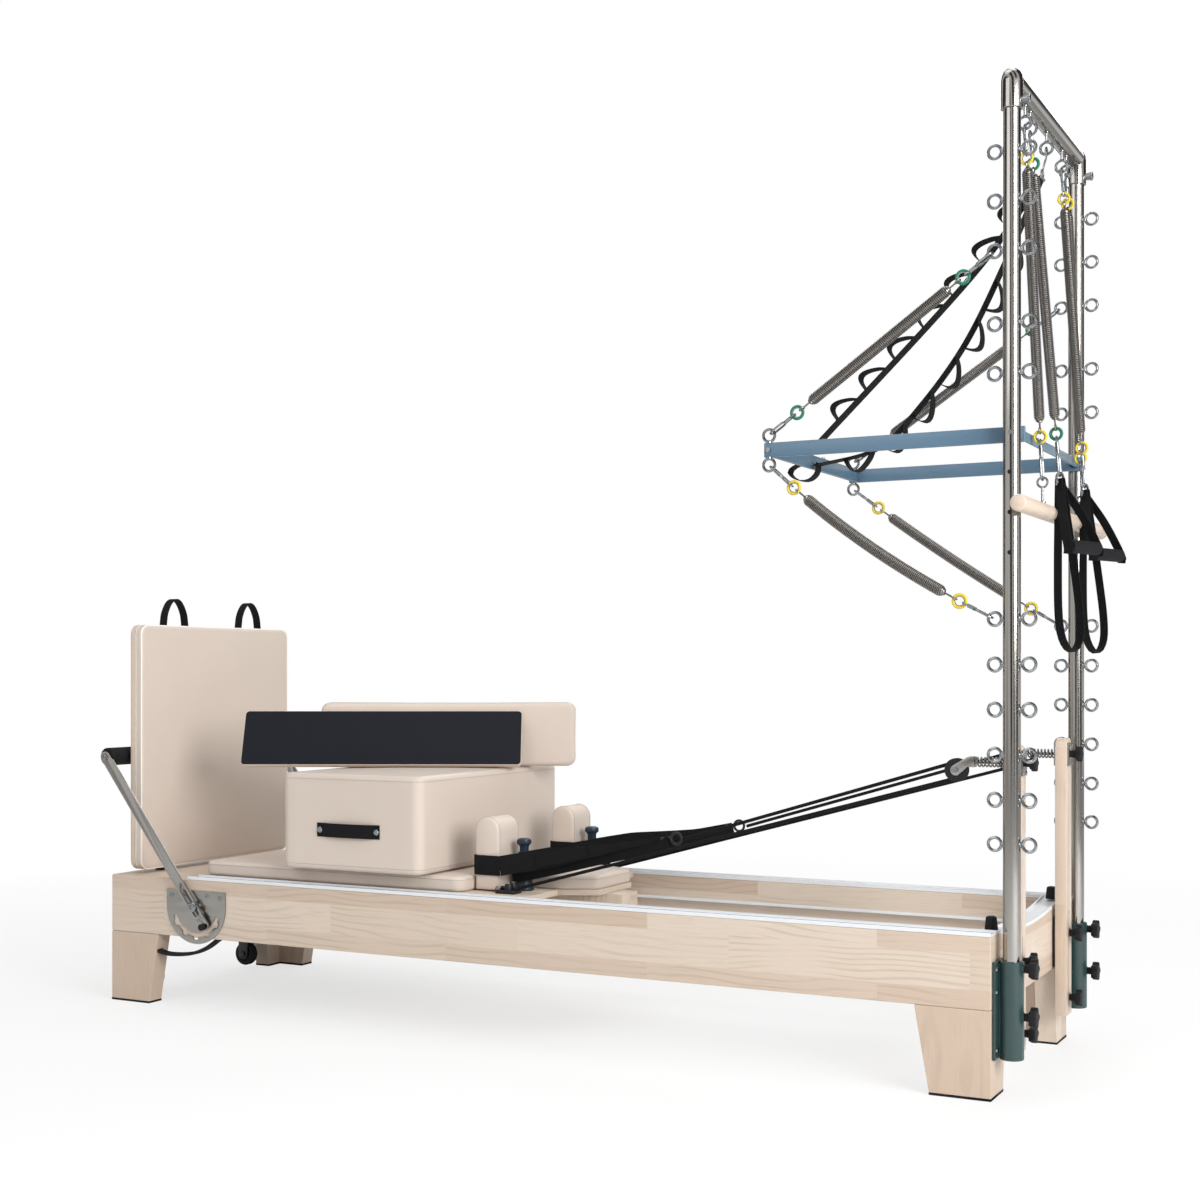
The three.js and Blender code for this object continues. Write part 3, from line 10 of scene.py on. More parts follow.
import bmesh
import bpy
from bpy.props import FloatProperty, FloatVectorProperty, PointerProperty
from bpy.types import Operator, Panel, PropertyGroup
from mathutils import Matrix, Vector, noise
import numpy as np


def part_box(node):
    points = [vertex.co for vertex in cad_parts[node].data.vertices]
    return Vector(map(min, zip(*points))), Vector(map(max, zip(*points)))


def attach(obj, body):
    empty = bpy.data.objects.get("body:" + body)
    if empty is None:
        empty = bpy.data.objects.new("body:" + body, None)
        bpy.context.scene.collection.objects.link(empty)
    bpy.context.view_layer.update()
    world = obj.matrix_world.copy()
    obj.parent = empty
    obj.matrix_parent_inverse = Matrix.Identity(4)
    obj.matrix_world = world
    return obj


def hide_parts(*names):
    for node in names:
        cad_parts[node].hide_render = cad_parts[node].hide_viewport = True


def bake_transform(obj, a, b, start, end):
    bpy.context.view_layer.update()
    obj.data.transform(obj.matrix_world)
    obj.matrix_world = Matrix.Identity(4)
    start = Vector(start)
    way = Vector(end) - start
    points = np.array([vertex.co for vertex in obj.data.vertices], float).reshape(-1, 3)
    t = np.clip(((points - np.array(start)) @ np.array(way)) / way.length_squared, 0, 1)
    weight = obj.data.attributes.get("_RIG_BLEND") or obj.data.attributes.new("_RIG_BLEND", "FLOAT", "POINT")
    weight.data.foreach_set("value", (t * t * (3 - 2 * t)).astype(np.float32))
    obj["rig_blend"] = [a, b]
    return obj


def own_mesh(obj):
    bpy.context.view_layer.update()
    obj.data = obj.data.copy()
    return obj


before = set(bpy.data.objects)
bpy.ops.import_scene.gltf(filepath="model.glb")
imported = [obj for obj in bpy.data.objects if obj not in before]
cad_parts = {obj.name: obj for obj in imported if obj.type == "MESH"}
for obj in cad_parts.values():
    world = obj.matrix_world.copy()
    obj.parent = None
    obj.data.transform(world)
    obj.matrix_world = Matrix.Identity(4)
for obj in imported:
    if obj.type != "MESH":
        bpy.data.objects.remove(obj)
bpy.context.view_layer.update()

bl_info = {
    "name": "Pilates Tower Unit",
    "version": (1, 0, 0),
    "blender": (4, 5, 0),
    "location": "View3D > Sidebar > Tower Unit",
    "description": "Dresses the frame of a pilates tower unit with its finished pieces",
    "category": "Add Mesh",
}

HEAD_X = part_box("side_rail_near")[1][0]
TO_FRAME = Matrix.Translation((HEAD_X, 0, 0)) @ Matrix.Scale(0.001, 4)
AHEAD, ACROSS, UP = Vector((1, 0, 0)), Vector((0, 1, 0)), Vector((0, 0, 1))
SIDES = {"near": -1, "far": 1}
# What a swept strap or rope keeps of each point, for its weave: how far along and how far across it is
WEAVE = ("run", "wide")

# Bed: its foot end face, half the gap between its rails, its boards' underside and a transport wheel's middle
FOOT_X, HALF_GAP, BOARD_BASE = -2476.0, 316.7, 193.0
WHEEL = Vector((-2470.0, 208.0, 45.0))
# Carriage: its board's top and middle, its pad's ends, the springs' lines, the cleats and the shoulder rests
DECK_TOP, BOARD_Z, PAD_FOOT, PAD_HEAD = 357.0, 349.5, -2195.0, -1362.0
SPRING_YS, SPRING_Z, CLEAT_Y, REST_Y = (-160, -80, 0, 80, 160), 312.0, 260.0, 199.0
# Ropes: the ring of a strap loop, the middle of a pulley's wheel, the rope's reach round it and its diameter
RING, SHEAVE = Vector((-812, 197, 509)), Vector((-111, 232.3, 697))
ROPE_REACH, ROPE_WIDE = 18.0, 8.6
# Foot bar: its pivot, its lean in degrees and how far up its arms the grip is
PIVOT, LEAN, GRIP_REACH = Vector((-2172, 0, 279)), math.radians(38.2), 508.0
# Tower: the posts' middle lines and radius, the heights of their eyes and of those under the top rail,
# and the risers' middle lines with the height of the rod that holds each pulley
POST_X, POST_Y, POST_R = 34.0, 322.0, 19.0
EYES = (2033, 1927, 1820, 1663, 1556, 1029, 931, 834, 737, 640, 545)
RAIL_EYE_Z, RISER_Y, ROD_Z = 2124.0, 232.5, 716.0
# Push-through frame: its level, its arms' middle lines and the eyes at their ends; then the parts that hang
PUSH_Z, ARM_Y, ARM_X = 1427.0, 295.0, -534.0
ROLL_BAR, ROLL_EYE_Y, ROLL_EYE_Z = Vector((73, 0, 1267)), 209.0, 1330.0
HANDLE_EYE, LADDER_Y = Vector((94, 132, 1345)), -42.0
# An outline's x and y lie along these axes of the unit, and its thickness along the third
XZ = Matrix(((1, 0, 0, 0), (0, 0, -1, 0), (0, 1, 0, 0), (0, 0, 0, 1)))
YZ = Matrix(((0, 0, 1, 0), (1, 0, 0, 0), (0, 1, 0, 0), (0, 0, 0, 1)))


def linear(code):
    """An sRGB hex colour as linear red, green and blue."""
    parts = [int(code[i : i + 2], 16) / 255 for i in (1, 3, 5)]
    return [p / 12.92 if p <= 0.04045 else ((p + 0.055) / 1.055) ** 2.4 for p in parts]


def colour(name, about, code):
    return FloatVectorProperty(
        name=name, description=about, subtype="COLOR", size=3, min=0, max=1, default=linear(code)
    )


def length(name, about, millimetres):
    return FloatProperty(
        name=name, description=about, subtype="DISTANCE", unit="LENGTH", min=0, default=millimetres / 1000
    )


class TowerColours(PropertyGroup):
    """Colours of the unit's finishes."""

    beech: colour("Beech", "Clear-varnished finger-jointed wood", "#d3c4b4")
    beech_dark: colour("Beech, darker staves", "The warmer staves among the pale ones", "#c3ae9b")
    leather: colour("Leatherette", "Covers of pads, box and jump board", "#d0c2b6")
    piping: colour("Piping", "Cord sewn round the jump board", "#efe9e0")
    enamel_green: colour("Green enamel", "Sockets that hold the posts", "#26403f")
    enamel_blue: colour("Blue enamel", "Push-through frame", "#567389")
    rubber: colour("Black rubber", "Feet, stops, tyres and grips", "#121316")
    webbing: colour("Black webbing", "Straps, loops and ropes", "#0c0d10")
    slate: colour("Slate nylon", "Rope spools", "#253240")
    deck: colour("Non-slip face", "Standing board's grit face", "#10141d")
    ring_green: colour("Green sleeve", "Marks the stronger springs", "#1f7a5c")
    ring_yellow: colour("Yellow sleeve", "Marks the lighter springs", "#e3c936")


class TowerSizes(PropertyGroup):
    """Sizes of the finishing details."""

    edge: length("Wood edge", "Rounding of the boards' edges", 2.5)
    seam: length("Seam", "Radius of the sewn seam's ridge", 1.0)
    piping: length("Piping", "Radius of the piping cord", 2.4)
    spring_wire: length("Spring wire", "Radius of the tower springs' wire", 2.0)
    spring_body: length("Spring body", "Outer radius of the hanging springs", 12.2)
    web: length("Webbing", "Thickness of the straps", 2.2)
    screw: length("Screw head", "Radius of the small screw heads", 4.5)


def in_mm(size):
    """A size property in this file's millimetres."""
    return size * 1000


# Node materials


def add_node(tree, kind, inputs=None, out=None, **settings):
    """Adds a node with its settings, links or fills its sockets, and gives it or one of its outputs."""
    made = tree.nodes.new(kind)
    for name, value in settings.items():
        setattr(made, name, value)
    for name, value in (inputs or {}).items():
        if isinstance(value, bpy.types.NodeSocket):
            tree.links.new(value, made.inputs[name])
        else:
            made.inputs[name].default_value = value
    return made if out is None else made.outputs[out]


def start_finish(name, rough, metal=0.0, **shader):
    """A named material, its shader with plain values, and the piece's own coordinates."""
    made = bpy.data.materials.new(name)
    made.use_nodes = True
    tree = made.node_tree
    surface = tree.nodes["Principled BSDF"]
    surface.inputs["Roughness"].default_value = rough
    surface.inputs["Metallic"].default_value = metal
    for key, value in shader.items():
        surface.inputs[key.replace("_", " ")].default_value = value
    return made, tree, surface, add_node(tree, "ShaderNodeTexCoord", out="Object")


def blend_tones(tree, share, first, second):
    """A colour between two by a texture's share; either may be another texture's colour."""
    ends = [tone if isinstance(tone, bpy.types.NodeSocket) else (*tone, 1) for tone in (first, second)]
    return add_node(tree, "ShaderNodeMix", {0: share, 6: ends[0], 7: ends[1]}, 2, data_type="RGBA")


def paint(tree, surface, share, first, second):
    """The surface's base colour, between two tones by a texture's share."""
    tree.links.new(blend_tones(tree, share, first, second), surface.inputs["Base Color"])


def add_relief(tree, surface, height, depth, strength=1.0):
    """Bump of a real depth in metres from a height pattern."""
    shape = {"Height": height, "Distance": depth, "Strength": strength}
    tree.links.new(add_node(tree, "ShaderNodeBump", shape, "Normal"), surface.inputs["Normal"])


def vary_roughness(tree, surface, share, low, high):
    """Roughness between two values by a texture's share."""
    varied = add_node(tree, "ShaderNodeMapRange", {"Value": share, "To Min": low, "To Max": high}, "Result")
    tree.links.new(varied, surface.inputs["Roughness"])


def darker(tone, share):
    return [part * share for part in tone]


def make_beech(name, tones, long_axis, wide_axis):
    """Beech, planed and varnished: the eye sees glued staves of two tones, faint arches and fine pores."""
    made, tree, surface, place = start_finish(name, 0.42, Coat_Weight=0.15, Coat_Roughness=0.3)
    pale, warm = tones
    split = add_node(tree, "ShaderNodeSeparateXYZ", {"Vector": place}).outputs
    third = ({"X", "Y", "Z"} - {long_axis, wide_axis}).pop()
    axes = {"X": split[long_axis], "Y": split[wide_axis], "Z": split[third]}
    turned = add_node(tree, "ShaderNodeCombineXYZ", axes, "Vector")
    # Staves are 560 mm long and 78 mm wide, with 0.4 mm joints, and each takes a tone of its own
    joints = {
        "Vector": turned, "Color1": (0, 0, 0, 1), "Color2": (1, 1, 1, 1), "Mortar": (0.4, 0.4, 0.4, 1),
        "Scale": 1.0, "Mortar Size": 0.0004, "Mortar Smooth": 1.0, "Brick Width": 0.56, "Row Height": 0.078,
    }
    stave = add_node(tree, "ShaderNodeTexBrick", joints, "Color", offset=0.37, offset_frequency=2)
    # Each stave is cut from another place in the log
    shift = {0: stave, 1: (3.1, 0.7, 1.9)}
    cut = add_node(tree, "ShaderNodeVectorMath", shift, "Vector", operation="MULTIPLY")
    own = add_node(tree, "ShaderNodeVectorMath", {0: turned, 1: cut}, "Vector", operation="ADD")
    drawn = add_node(tree, "ShaderNodeMapping", {"Vector": own, "Scale": (2.2, 7.0, 7.0)}, "Vector")
    # Growth rings show as arches: a band is 0.314 m over the scales 7.0 and 2.6, which is 17 mm
    rings = {"Vector": drawn, "Scale": 2.6, "Distortion": 24.0, "Detail": 2.0, "Detail Scale": 0.3}
    arches = add_node(tree, "ShaderNodeTexWave", rings, "Fac", wave_type="BANDS", bands_direction="Y")
    # Pores are 70 mm long and 2.4 mm wide, drawn coarser than real ones so that they show
    fine = add_node(tree, "ShaderNodeMapping", {"Vector": own, "Scale": (14, 420, 420)}, "Vector")
    pores = add_node(tree, "ShaderNodeTexNoise", {"Vector": fine, "Scale": 1.0, "Detail": 3.0}, "Fac")
    stave_tone = blend_tones(tree, stave, pale, warm)
    strength = {"Value": arches, "From Min": 0.62, "To Max": 0.42}
    ring_share = add_node(tree, "ShaderNodeMapRange", strength, "Result")
    # The rings come and go over about a quarter of a metre
    patches = add_node(tree, "ShaderNodeTexNoise", {"Vector": own, "Scale": 4.0, "Detail": 1.0}, "Fac")
    fading = {"Value": patches, "From Min": 0.4, "From Max": 0.62, "To Min": 0.12}
    clear = add_node(tree, "ShaderNodeMapRange", fading, "Result")
    shown = add_node(tree, "ShaderNodeMath", {0: ring_share, 1: clear}, "Value", operation="MULTIPLY")
    ringed = blend_tones(tree, shown, stave_tone, darker(warm, 0.72))
    depth = {"Value": pores, "From Min": 0.55, "From Max": 0.8, "To Max": 0.35}
    pore_share = add_node(tree, "ShaderNodeMapRange", depth, "Result")
    paint(tree, surface, pore_share, ringed, darker(warm, 0.62))
    vary_roughness(tree, surface, pores, 0.36, 0.5)
    add_relief(tree, surface, pores, 0.0002, 0.35)
    return made


def make_plywood(name, tones):
    """Birch plywood, sealed: the eye sees thin veneers as stripes on the cut edge, and short flecks."""
    made, tree, surface, place = start_finish(name, 0.45)
    # Veneers are 1.5 mm thick, drawn at 3 mm (0.314 m over 105) so that they show
    stripes = {"Vector": place, "Scale": 105.0, "Distortion": 0.4}
    layers = add_node(tree, "ShaderNodeTexWave", stripes, "Fac", bands_direction="Z")
    grain = add_node(tree, "ShaderNodeMapping", {"Vector": place, "Scale": (6, 90, 160)}, "Vector")
    flecks = add_node(tree, "ShaderNodeTexNoise", {"Vector": grain, "Scale": 1.0, "Detail": 4.0}, "Fac")
    both = add_node(tree, "ShaderNodeMath", {0: layers, 1: flecks}, "Value", operation="MULTIPLY")
    paint(tree, surface, both, tones[0], darker(tones[1], 0.86))
    add_relief(tree, surface, flecks, 0.0002, 0.3)
    return made


def make_leatherette(name, tone, rough=0.46):
    """Leatherette, embossed: the eye sees a pebble grain, soft shade in broad folds and a low sheen."""
    made, tree, surface, place = start_finish(name, rough, Sheen_Weight=0.08, Sheen_Roughness=0.5)
    # Pebbles are 1.1 mm across, a little coarser than real ones so that they show
    grain = {"Vector": place, "Scale": 900.0, "Randomness": 1.0}
    pebbles = add_node(tree, "ShaderNodeTexVoronoi", grain, "Distance", feature="SMOOTH_F1")
    folds = add_node(tree, "ShaderNodeTexNoise", {"Vector": place, "Scale": 7.0, "Detail": 4.0}, "Fac")
    paint(tree, surface, folds, darker(tone, 0.94), tone)
    vary_roughness(tree, surface, folds, rough - 0.06, rough + 0.08)
    both = {0: folds, 1: 0.8, 2: pebbles}
    height = add_node(tree, "ShaderNodeMath", both, "Value", operation="MULTIPLY_ADD")
    add_relief(tree, surface, height, 0.0005, 0.35)
    return made


def make_metal(name, tone, rough, stretch, depth=0.00004):
    """Drawn or brushed metal: the eye sees highlights broken by lines, so many to a metre along each axis."""
    made, tree, surface, place = start_finish(name, rough, metal=1.0)
    drawn = add_node(tree, "ShaderNodeMapping", {"Vector": place, "Scale": stretch}, "Vector")
    lines = add_node(tree, "ShaderNodeTexNoise", {"Vector": drawn, "Scale": 1.0, "Detail": 5.0}, "Fac")
    paint(tree, surface, lines, darker(tone, 0.82), tone)
    vary_roughness(tree, surface, lines, max(rough - 0.08, 0.03), rough + 0.1)
    add_relief(tree, surface, lines, depth, 0.4)
    return made


def make_enamel(name, tone, rough=0.38):
    """Powder-coated steel: the eye sees an even satin coat with fine orange peel."""
    made, tree, surface, place = start_finish(name, rough, Coat_Weight=0.25, Coat_Roughness=0.2)
    # Orange peel is 2 mm across
    peel = add_node(tree, "ShaderNodeTexNoise", {"Vector": place, "Scale": 500.0, "Detail": 2.0}, "Fac")
    paint(tree, surface, peel, darker(tone, 0.88), tone)
    vary_roughness(tree, surface, peel, rough - 0.06, rough + 0.08)
    add_relief(tree, surface, peel, 0.0001, 0.5)
    return made


def make_moulded(name, tone, rough, grit, depth=0.0001):
    """Moulded rubber, nylon or foam: the eye sees a matt face with a grit of a given size in millimetres."""
    made, tree, surface, place = start_finish(name, rough, Specular_IOR_Level=0.3)
    fine = {"Vector": place, "Scale": 1000.0 / grit, "Detail": 3.0}
    grains = add_node(tree, "ShaderNodeTexNoise", fine, "Fac")
    paint(tree, surface, grains, darker(tone, 0.75), tone)
    vary_roughness(tree, surface, grains, rough - 0.1, rough + 0.1)
    add_relief(tree, surface, grains, depth, 0.6)
    return made


def make_woven(name, tone, pitch):
    """Woven polyester: the eye sees ribs across a run and threads along it, and both follow its bends."""
    made, tree, surface, _ = start_finish(name, 0.8, Specular_IOR_Level=0.25)
    run, wide = [add_node(tree, "ShaderNodeAttribute", out="Fac", attribute_name=name) for name in WEAVE]
    spot = add_node(tree, "ShaderNodeCombineXYZ", {"X": run, "Y": wide}, "Vector")
    # One thread crosses every pitch of the run, in metres: a wave's band is 0.31 m over its scale
    thread = {"Vector": spot, "Scale": 0.31 / pitch}
    ribs, threads = [
        add_node(tree, "ShaderNodeTexWave", {**thread, "Distortion": wander}, "Fac", bands_direction=way)
        for wander, way in ((0.0, "DIAGONAL"), (0.6, "Y"))
    ]
    weave = add_node(tree, "ShaderNodeMath", {0: ribs, 1: threads}, "Value", operation="MULTIPLY")
    paint(tree, surface, weave, darker(tone, 0.6), darker(tone, 1.3))
    add_relief(tree, surface, weave, 0.0006, 0.6)
    return made


def make_finishes(colours):
    """Every finish of the unit by name, with the record's slot that it belongs to."""
    beech = (colours.beech, colours.beech_dark)
    tube, plate, zinc, spring = [linear(code) for code in ("#aba7a2", "#a9a6a1", "#9c9fa1", "#8f8b87")]
    tube_lines, plate_lines = (160, 160, 1.5), (8, 8, 300)
    # Lines are 6 mm apart and 0.7 m long on tubes and 3 mm apart on plates; small parts have 3 to 5 mm specks
    return {
        "beech_x": (make_beech("beech along the bed", beech, "X", "Z"), "beech"),
        "beech_y": (make_beech("beech across the bed", beech, "Y", "Z"), "beech"),
        "beech_z": (make_beech("beech upright", beech, "Z", "Y"), "beech"),
        "beech_top": (make_beech("beech laid flat", beech, "Y", "X"), "beech"),
        "plywood": (make_plywood("birch plywood", beech), "beech"),
        "leather": (make_leatherette("beige leatherette", colours.leather), "leather"),
        "piping": (make_leatherette("pale piping", colours.piping, 0.4), "leather"),
        # The seams are the cover's tone darkened: painted shade of the sewn creases
        "seam": (make_leatherette("beige seam, painted shade", darker(colours.leather, 0.72)), "leather"),
        "track": (make_enamel("satin aluminium", linear("#e4e6e9"), 0.4), "cap"),
        # The groove finish is painted shade: a dark grey that stands for the shade inside the tracks' grooves
        "groove": (make_enamel("aluminium groove", linear("#8b9096"), 0.5), "cap"),
        "stainless": (make_metal("polished stainless tube", tube, 0.12, tube_lines, 0.000004), "polished"),
        "stainless_x": (make_metal("brushed stainless plate", plate, 0.3, plate_lines), "polished"),
        "zinc": (make_metal("bright zinc steel", zinc, 0.24, (220, 220, 220)), "steel"),
        "spring": (make_metal("spring steel", spring, 0.3, (400, 400, 400)), "steel"),
        "green": (make_enamel("green enamel", colours.enamel_green), "green"),
        "blue": (make_enamel("blue enamel", colours.enamel_blue, 0.34), "blue"),
        "black_steel": (make_enamel("black powder coat", colours.rubber, 0.45), "black"),
        "rubber": (make_moulded("black rubber", colours.rubber, 0.62, 0.8, 0.0002), "black"),
        "foam": (make_moulded("black foam rubber", colours.rubber, 0.82, 1.6, 0.0006), "black"),
        "nylon": (make_moulded("black nylon", linear("#202124"), 0.4, 0.6), "sheave"),
        "slate": (make_moulded("slate nylon", colours.slate, 0.36, 0.8), "slate"),
        "grit": (make_moulded("non-slip grit", colours.deck, 0.8, 1.2, 0.0008), "deck"),
        "webbing": (make_woven("black webbing", colours.webbing, 0.0022), "webbing"),
        "rope": (make_woven("black braided rope", colours.webbing, 0.0028), "webbing"),
        "sleeve_green": (make_moulded("green vinyl sleeve", colours.ring_green, 0.35, 1.0), "steel"),
        "sleeve_yellow": (make_moulded("yellow vinyl sleeve", colours.ring_yellow, 0.35, 1.0), "steel"),
    }


finishes = {}


# Shapes in bmesh


def edges_of(verts):
    return list({edge for vert in verts for edge in vert.link_edges})


def verts_in(geom):
    return [part for part in geom if isinstance(part, bmesh.types.BMVert)]


def aimed(at, way):
    """A place whose Z points along a way."""
    return Matrix.Translation(at) @ way.to_track_quat("Z", "Y").to_matrix().to_4x4()


def bar(bm, start, end, radius, sides=20, end_radius=None):
    """A round bar between two points, closed at its ends."""
    start, end = Vector(start), Vector(end)
    bmesh.ops.create_cone(
        bm, cap_ends=True, segments=sides, radius1=radius, radius2=end_radius or radius,
        depth=(end - start).length, matrix=aimed((start + end) / 2, end - start),
    )


def block(bm, low, high, cuts=(0, 0, 0)):
    """A straight block between two corners, cut into strips along any of its sides."""
    low, high = Vector(low), Vector(high)
    place = Matrix.Translation((low + high) / 2) @ Matrix.Diagonal((*(high - low), 1))
    verts = bmesh.ops.create_cube(bm, size=1, matrix=place)["verts"]
    for axis, count in enumerate(cuts):
        for i in range(1, count + 1):
            cut = low.copy()
            cut[axis] = low[axis] + (high[axis] - low[axis]) * i / (count + 1)
            normal = (AHEAD, ACROSS, UP)[axis]
            touched = [*verts, *edges_of(verts), *{face for vert in verts for face in vert.link_faces}]
            result = bmesh.ops.bisect_plane(bm, geom=touched, plane_co=cut, plane_no=normal)
            verts += verts_in(result["geom_cut"])
    return verts


def bevel(bm, edges, width, segments, **settings):
    bmesh.ops.bevel(
        bm, geom=edges, offset=width, segments=segments, profile=0.5, affect="EDGES", material=-1, **settings
    )


def rounded_block(bm, low, high, width, segments=2):
    """A block with its edges rounded; its corners may be given in any order along Y."""
    near, far = sorted((low[1], high[1]))
    bevel(bm, edges_of(block(bm, (low[0], near, low[2]), (high[0], far, high[2]))), width, segments)


def soften(bm, width, segments=3):
    """Rounds every edge that turns by more than 35 degrees."""
    sharp = [e for e in bm.edges if len(e.link_faces) == 2 and e.calc_face_angle(0) > math.radians(35)]
    bevel(bm, sharp, width, segments, offset_type="OFFSET", clamp_overlap=True)


def turn(bm, profile, centre, axis, steps=32):
    """A shape turned on a lathe: radius and height pairs spun about an axis through a centre."""
    side = axis.orthogonal().normalized()
    verts = [bm.verts.new(Vector(centre) + side * radius + axis * height) for radius, height in profile]
    geom = verts + [bm.edges.new(pair) for pair in zip(verts, verts[1:])]
    bmesh.ops.spin(bm, geom=geom, cent=centre, axis=axis, angle=2 * math.pi, steps=steps, use_merge=True)
    bmesh.ops.remove_doubles(bm, verts=bm.verts, dist=0.001)


def ring(bm, centre, radius, wire, axis, steps=28, sides=8):
    """A closed round ring."""
    side = axis.orthogonal().normalized()
    place = aimed(Vector(centre) + side * radius, axis.cross(side))
    verts = bmesh.ops.create_circle(bm, segments=sides, radius=wire, matrix=place)["verts"]
    geom = verts + edges_of(verts)
    bmesh.ops.spin(bm, geom=geom, cent=centre, axis=axis, angle=2 * math.pi, steps=steps, use_merge=True)


def helix(bm, radius, wire, pitch, turns, steps=10, sides=5):
    """A wound wire that climbs Z from the origin; its turns are a multiple of eight."""
    first = turns // 8
    place = Matrix.Translation((radius, 0, 0)) @ Matrix.Rotation(math.pi / 2, 4, "X")
    verts = bmesh.ops.create_circle(bm, segments=sides, radius=wire, matrix=place)["verts"]
    bmesh.ops.spin(
        bm, geom=verts + edges_of(verts), cent=(0, 0, 0), axis=UP, dvec=(0, 0, pitch / steps),
        angle=2 * math.pi * first, steps=steps * first,
    )
    for doubling in (1, 2, 4):
        copied = bmesh.ops.duplicate(bm, geom=bm.verts[:] + bm.edges[:] + bm.faces[:])["geom"]
        bmesh.ops.translate(bm, vec=(0, 0, pitch * first * doubling), verts=verts_in(copied))
    bmesh.ops.remove_doubles(bm, verts=bm.verts, dist=wire / 50)
    bmesh.ops.holes_fill(bm, edges=[e for e in bm.edges if e.is_boundary])


def evenly(start, stop, count):
    """Points at even steps from one point to another."""
    return [Vector(start).lerp(Vector(stop), i / count) for i in range(count + 1)]


def join(bm, other):
    """Moves one bmesh's shape into another."""
    mesh = bpy.data.meshes.new("joined")
    other.to_mesh(mesh)
    other.free()
    bm.from_mesh(mesh)
    bpy.data.meshes.remove(mesh)


def frames_along(points, widthway=None):
    """The points' own frames, each with its Z along the run and its Y kept across it."""
    made = []
    side = Vector(widthway) if widthway else None
    for i, point in enumerate(points):
        ahead = (points[min(i + 1, len(points) - 1)] - points[max(i - 1, 0)]).normalized()
        if side is None:
            side = ahead.orthogonal()
        side = (side - ahead * side.dot(ahead)).normalized()
        across = side.cross(ahead)
        turned = Matrix((across, side, ahead)).transposed().to_4x4()
        made.append(Matrix.Translation(point) @ turned)
    return made


def sweep(bm, points, thick, wide=None, widthway=None, sides=10, taper=None):
    """A tube or flat band carried along points, with its run and width kept for the weave."""
    points = [Vector(p) for p in points]
    layers = bm.verts.layers.float
    run_layer, wide_layer = [layers.get(name) or layers.new(name) for name in WEAVE]
    frames = frames_along(points, widthway)
    if taper:
        count = len(frames) - 1
        frames = [f @ Matrix.Diagonal((1, taper(i / count), 1, 1)) for i, f in enumerate(frames)]
    if wide:
        square = Matrix.Diagonal((thick / math.sqrt(2), wide / math.sqrt(2), 1, 1))
        count, radius, place = 4, 1, frames[0] @ square @ Matrix.Rotation(math.pi / 4, 4, "Z")
    else:
        count, radius, place = sides, thick / 2, frames[0]
    verts = bmesh.ops.create_circle(bm, cap_ends=True, segments=count, radius=radius, matrix=place)["verts"]
    run = 0.0
    back = frames[0].inverted()
    for vert in verts:
        vert[wide_layer] = (back @ vert.co).y / 1000
    loop = edges_of(verts)
    for i in range(1, len(points)):
        run += (points[i] - points[i - 1]).length
        grown = bmesh.ops.extrude_edge_only(bm, edges=loop)["geom"]
        verts = verts_in(grown)
        loop = [g for g in grown if isinstance(g, bmesh.types.BMEdge) and set(g.verts) <= set(verts)]
        bmesh.ops.transform(bm, matrix=frames[i] @ frames[i - 1].inverted(), verts=verts)
        for vert in verts:
            vert[run_layer] = run / 1000
    bmesh.ops.contextual_create(bm, geom=loop)


def runs_along(points):
    """How far along the line through them each point is."""
    return [0.0, *accumulate((q - p).length for p, q in zip(points, points[1:]))]


def smooth_path(points, count=24):
    """Points at even steps of a smooth curve through a few chosen ones."""
    points = [Vector(p) for p in points]
    ends = [2 * points[0] - points[1], *points, 2 * points[-1] - points[-2]]
    dense = []
    for a, b, c, d in zip(ends, ends[1:], ends[2:], ends[3:]):
        for i in range(12):
            t = i / 12
            square, cube = 2 * a - 5 * b + 4 * c - d, 3 * b - a - 3 * c + d
            dense.append(0.5 * (2 * b + (c - a) * t + square * t**2 + cube * t**3))
    dense.append(points[-1])
    runs = runs_along(dense)
    even, at = [], 0
    for i in range(count + 1):
        goal = runs[-1] * i / count
        while at < len(runs) - 2 and runs[at + 1] < goal:
            at += 1
        share = (goal - runs[at]) / max(runs[at + 1] - runs[at], 1e-9)
        even.append(dense[at].lerp(dense[at + 1], min(max(share, 0), 1)))
    return even


def arc(centre, radius, start, end, count):
    """Points of an arc in a plane, its angles in degrees."""
    steps = [math.radians(start + (end - start) * i / count) for i in range(count + 1)]
    return [(centre[0] + radius * math.cos(a), centre[1] + radius * math.sin(a)) for a in steps]


def rounded_loop(low, high, corner):
    """The closed outline of a rectangle with round corners."""
    (x0, y0), (x1, y1) = (low[0] + corner, low[1] + corner), (high[0] - corner, high[1] - corner)
    loop = []
    for turned, middle in zip((0, 90, 180, 270), ((x1, y1), (x0, y1), (x0, y0), (x1, y0))):
        loop += arc(middle, corner, turned, turned + 90, 8)
    return loop


def slot_loop(low, high, radius, across=0, count=10):
    """The closed outline of an upright slot with round ends."""
    return arc((across, high), radius, 0, 180, count) + arc((across, low), radius, 180, 360, count)


def flat(bm, loops, thick, rim, place):
    """A flat plate from closed outlines, the later ones its holes, with softened rims."""
    drawing = bpy.data.curves.new("outline", "CURVE")
    drawing.dimensions = "2D"
    drawing.fill_mode = "BOTH"
    drawing.extrude = thick / 2 - rim
    drawing.bevel_depth = rim
    drawing.bevel_resolution = 1
    drawing.offset = -rim
    for loop in loops:
        spline = drawing.splines.new("POLY")
        spline.points.add(len(loop) - 1)
        for point, (x, y) in zip(spline.points, loop):
            point.co = (x, y, 0, 1)
        spline.use_cyclic_u = True
    holder = bpy.data.objects.new("outline", drawing)
    mesh = bpy.data.meshes.new_from_object(holder)
    mesh.transform(place)
    bm.from_mesh(mesh)
    bpy.data.meshes.remove(mesh)
    bpy.data.objects.remove(holder)
    bpy.data.curves.remove(drawing)
    bmesh.ops.remove_doubles(bm, verts=bm.verts, dist=0.01)


